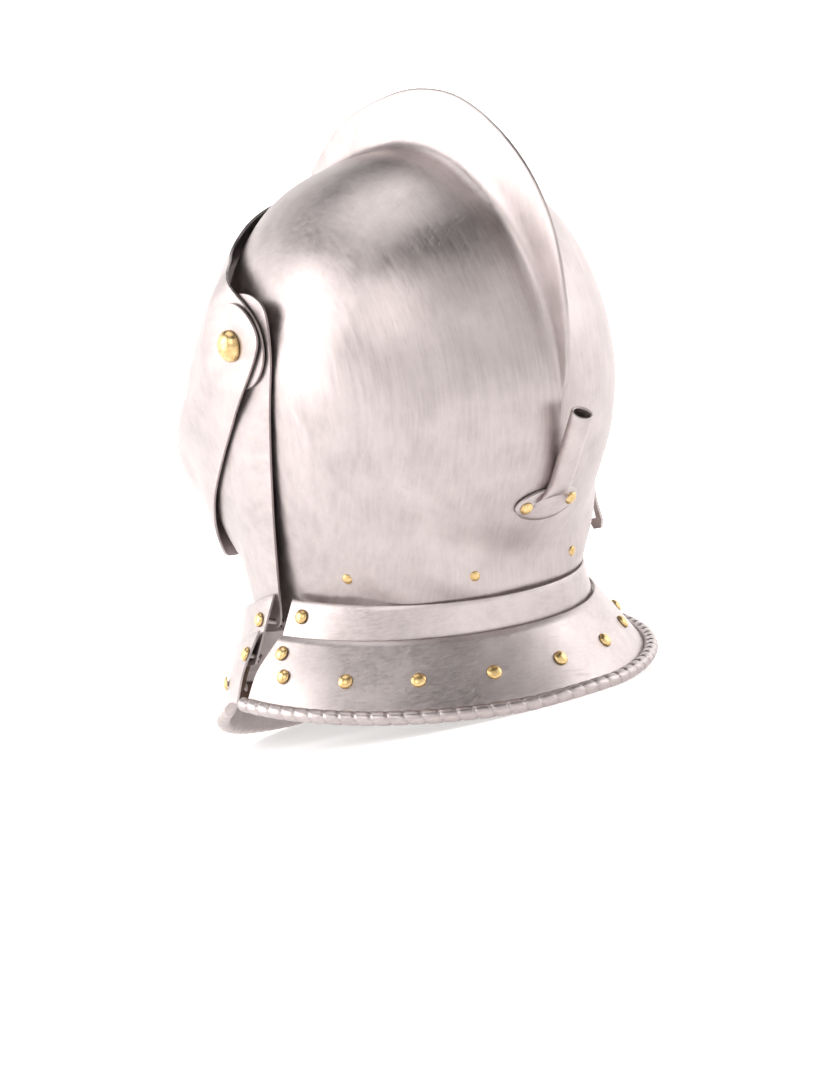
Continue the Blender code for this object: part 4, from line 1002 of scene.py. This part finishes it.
def make_strap():
    stations = []
    for k in range(121):
        middle, out, _ = strap_place((-1.0 + 2.0 * k / 120) * math.pi / 2)
        section = [(-0.0080, 0.0), (-0.0077, 0.0008), (-0.0070, 0.0010), (-0.0062, 0.0010), (-0.0058, 0.0008),
                   (-0.0054, 0.0010), (0.0054, 0.0010), (0.0058, 0.0008), (0.0062, 0.0010), (0.0070, 0.0010),
                   (0.0077, 0.0008), (0.0080, 0.0), (0.0077, -0.0008), (0.0070, -0.0010), (-0.0070, -0.0010),
                   (-0.0077, -0.0008)]
        stations.append([middle + Vector((0.0, y, 0.0)) + out * d for y, d in section])
    count = len(stations[0])
    points = [p for ring in stations for p in ring]
    faces = [tuple(range(count - 1, -1, -1)), tuple(range(120 * count, 121 * count))]
    for i in range(120):
        a, b = i * count, (i + 1) * count
        faces += [(a + j, a + (j + 1) % count, b + (j + 1) % count, b + j) for j in range(count)]
    made = piece("chin_strap_leather", points, faces, LEATHER, 60.0)
    wear(made, "chin_strap", "skull")
    points, faces = [], []
    for side in (-1, 1):
        for k in range(-22, 23):
            middle, out, run = strap_place(k * 0.0655)
            at = middle + Vector((0.0, side * 0.0058, 0.0)) + out * 0.00095
            stitch, its = lathe(
                [(0.0, 0.0014), (0.0002, 0.0012), (0.00032, 0.0), (0.0002, -0.0012), (0.0, -0.0014)], 8
            )
            start = len(points)
            points += placed(stitch, at, run)
            faces += [tuple(i + start for i in f) for f in its]
    made = piece("chin_strap_stitching", points, faces, THREAD, 60.0)
    return wear(made, [], "skull")


def make_buckle():
    """A cast frame with rounded bars."""
    middle, out, run = strap_place(math.radians(38.0))
    across = Vector((0.0, 1.0, 0.0))
    points, faces = [], []
    corners = 48
    for k in range(corners):
        a = 2 * math.pi * k / corners
        x = math.copysign(abs(math.cos(a)) ** 0.45, math.cos(a))
        y = math.copysign(abs(math.sin(a)) ** 0.45, math.sin(a))
        centre = middle + across * 0.0096 * x + out * 0.0023 * y
        outwards = (across * x * 0.4 + out * y).normalized()
        for j in range(12):
            b = 2 * math.pi * j / 12
            points.append(centre + outwards * 0.0007 * math.cos(b) + run * 0.0028 * math.sin(b))
    for k in range(corners):
        a, b = k * 12, ((k + 1) % corners) * 12
        faces += [(a + j, a + (j + 1) % 12, b + (j + 1) % 12, b + j) for j in range(12)]
    made = piece("chin_buckle_brass", points, faces, BRASS, 50.0)
    return wear(made, "chin_buckle", "skull")


# ---------------------------------------------------------------- stage
def make_floor():
    """A pale seamless bowl: floor and backdrop in one. It glows as painted light: brighter on the side away
    from the camera, darker on the camera side.
    """
    rings = [(0.02, 0.0), (1.2, 0.0), (2.6, 0.0)]
    rings += [(2.6 + 1.4 * math.sin(a), 1.4 - 1.4 * math.cos(a)) for a in np.linspace(0.1, math.pi / 2, 14)]
    rings.append((4.0, 3.4))
    points, faces = [(0.0, 0.0, 0.0)], []
    turns = [2 * math.pi * k / 96 for k in range(96)]
    for r, z in rings:
        points += [(r * math.cos(t), r * math.sin(t), z) for t in turns]
    for k in range(96):
        n = (k + 1) % 96
        faces.append((0, 1 + k, 1 + n))
        for i in range(len(rings) - 1):
            a = 1 + i * 96
            faces.append((a + k, a + 96 + k, a + 96 + n, a + n))
    n = Nodes("pale_stage")
    haze = n.noise(n.mapping((3.0, 3.0, 3.0)), 1.0, 2.0, 0.5)
    tone = n.mix(n.ramp(haze, [(0.3, 0.0), (0.7, 1.0)]), (0.89, 0.885, 0.88), (0.91, 0.905, 0.90))
    gloss = n.ramp(haze, [(0.3, 0.85), (0.7, 0.9)])
    # Painted light: the bowl's glow runs from dim on the camera's side to bright on the far side, so the
    # steel reflects a dark room behind the camera and a bright one beyond.
    az = math.radians(CAMERA_AZIMUTH)
    around = n.tree.nodes.new("ShaderNodeSeparateXYZ")
    n.link(n.mapping((1.0, 1.0, 1.0), (0.0, 0.0, -az)), around.inputs["Vector"])
    depth = n.sums(n.sums(around.outputs["Y"], 0.125, "MULTIPLY"), 0.5)
    painted_glow = n.ramp(depth, [(0.12, 0.14), (0.40, 0.34), (0.62, 0.84)])
    n.link(painted_glow, n.shader.inputs["Emission Strength"])
    material = n.finish(tone, gloss, n.bump(haze, 0.0001, 0.1), Emission_Color=(1.0, 0.99, 0.985, 1.0))
    made = piece("stage_floor", [(x, y - CENTRE_SHIFT, z) for x, y, z in points], faces, material, 0.0, False)


def lamp(name, at, size, power, colour=(1.0, 1.0, 1.0), target=(0.0, 0.0, 0.17)):
    light = bpy.data.lights.new(name, "AREA")
    light.shape = "RECTANGLE"
    light.size, light.size_y = size
    light.energy = power
    light.color = colour
    made = bpy.data.objects.new(name, light)
    made.location = at
    made.rotation_euler = (Vector(target) - Vector(at)).to_track_quat("-Z", "Y").to_euler()
    bpy.context.scene.collection.objects.link(made)


def make_lights():
    world = bpy.data.worlds.new("studio")
    world.use_nodes = True
    world.node_tree.nodes["Background"].inputs["Color"].default_value = (0.80, 0.80, 0.82, 1.0)
    world.node_tree.nodes["Background"].inputs["Strength"].default_value = 0.16
    bpy.context.scene.world = world
    lamp("key_left", (1.8, -1.1, 1.0), (1.3, 1.9), 22.0, (1.0, 0.99, 0.985))
    lamp("soft_back_left", (2.0, 0.9, 1.2), (1.2, 1.2), 7.0, (1.0, 0.985, 0.97))
    lamp("top", (0.4, -0.1, 2.2), (1.6, 1.6), 13.0)
    lamp("fill_right", (-1.8, 1.2, 0.9), (0.4, 1.2), 4.5, (0.97, 0.97, 1.0))


def make_camera():
    az, el, roll = (math.radians(a) for a in (CAMERA_AZIMUTH, CAMERA_ELEVATION, CAMERA_ROLL))
    back = Vector((math.sin(az) * math.cos(el), -math.cos(az) * math.cos(el), math.sin(el)))
    level = Vector((math.cos(az), math.sin(az), 0.0))
    upright = back.cross(level)
    right = level * math.cos(roll) - upright * math.sin(roll)
    up = back.cross(right)
    data = bpy.data.cameras.new("camera")
    data.lens = CAMERA_LENS
    data.sensor_width = 36.0
    data.sensor_fit = "HORIZONTAL"
    data.clip_start = 0.05
    made = bpy.data.objects.new("camera", data)
    aside = right * TARGET_ASIDE[0] + up * TARGET_ASIDE[1]
    made.matrix_world = Matrix.Translation(Vector(TARGET) + CAMERA_DISTANCE * (back - aside)) @ Matrix(
        (right, up, back)
    ).transposed().to_4x4()
    bpy.context.scene.collection.objects.link(made)
    bpy.context.scene.camera = made


# ---------------------------------------------------------------- the whole helmet
# A plain transfer of tones, so that the stage stays white behind the steel.
bpy.context.scene.view_settings.view_transform = "Standard"
make_camera()
make_floor()
make_lights()
make_skull()
make_shell(
    "ventail", VENTAIL_HALF_WIDTH, ventail_reach, face_power, VENTAIL_OUTLINE, "ventail",
    [breath_cutter()],
)
make_shell(
    "visor", VISOR_HALF_WIDTH, visor_reach, face_power, VISOR_OUTLINE, "visor",
    [*sight_cutters(), comb_slot_cutter()],
)
make_shell("bevor", BEVOR_HALF_WIDTH, bevor_reach, bevor_power, BEVOR_OUTLINE, "bevor")
make_lame("rear_collar_lame", REAR_COLLAR, rear_point, "rear_collar", 150)
make_lame("front_collar_lame", FRONT_COLLAR, front_point, "front_collar", 150)
make_lame("rear_gorget_plate", REAR_PLATE, rear_point, "rear_gorget", 560, BEAD_RADIUS)
make_lame("front_gorget_plate", FRONT_PLATE, front_point, "front_gorget", 520, BEAD_RADIUS)
make_band("rear_lining_band", REAR_PLATE, rear_point, "rear_gorget")
make_band("front_lining_band", FRONT_PLATE, front_point, "front_gorget")
make_plume_holder()
make_liner()
make_strap()
make_buckle()
make_peg()
for word, side in (("left", 1), ("right", -1)):
    make_pivot(word, side)
    make_rivet("plume_rivet_" + word, "skull", *PLUME_HEAD)
    for stem, body in (
        ("rear_collar", "rear_collar"), ("rear_plate", "rear_gorget"),
        ("front_collar", "front_collar"), ("front_plate", "front_gorget"),
    ):
        make_rivet(f"{stem}_rivet_{word}", body, *RIM_HEAD)
for k in range(1, 10):
    make_rivet(f"rear_rim_rivet_{k}", "rear_gorget", *RIM_HEAD)
for k in range(1, 8):
    make_rivet(f"front_rim_rivet_{k}", "front_gorget", *RIM_HEAD)
for k in range(1, 5):
    make_rivet(f"skull_rivet_{k}", "skull", *LINING_HEAD)
# These small parts are shown as they are in the frame, in the scene's own materials.
for name, material in (
    ("latch_hook", STEEL_RIM), ("latch_rivet", BRASS), ("latch_stud", BRASS),
    ("pivot_nut_left", STEEL_RIM), ("pivot_nut_right", STEEL_RIM),
):
    for place in NODES[name].material_slots:
        place.material = material
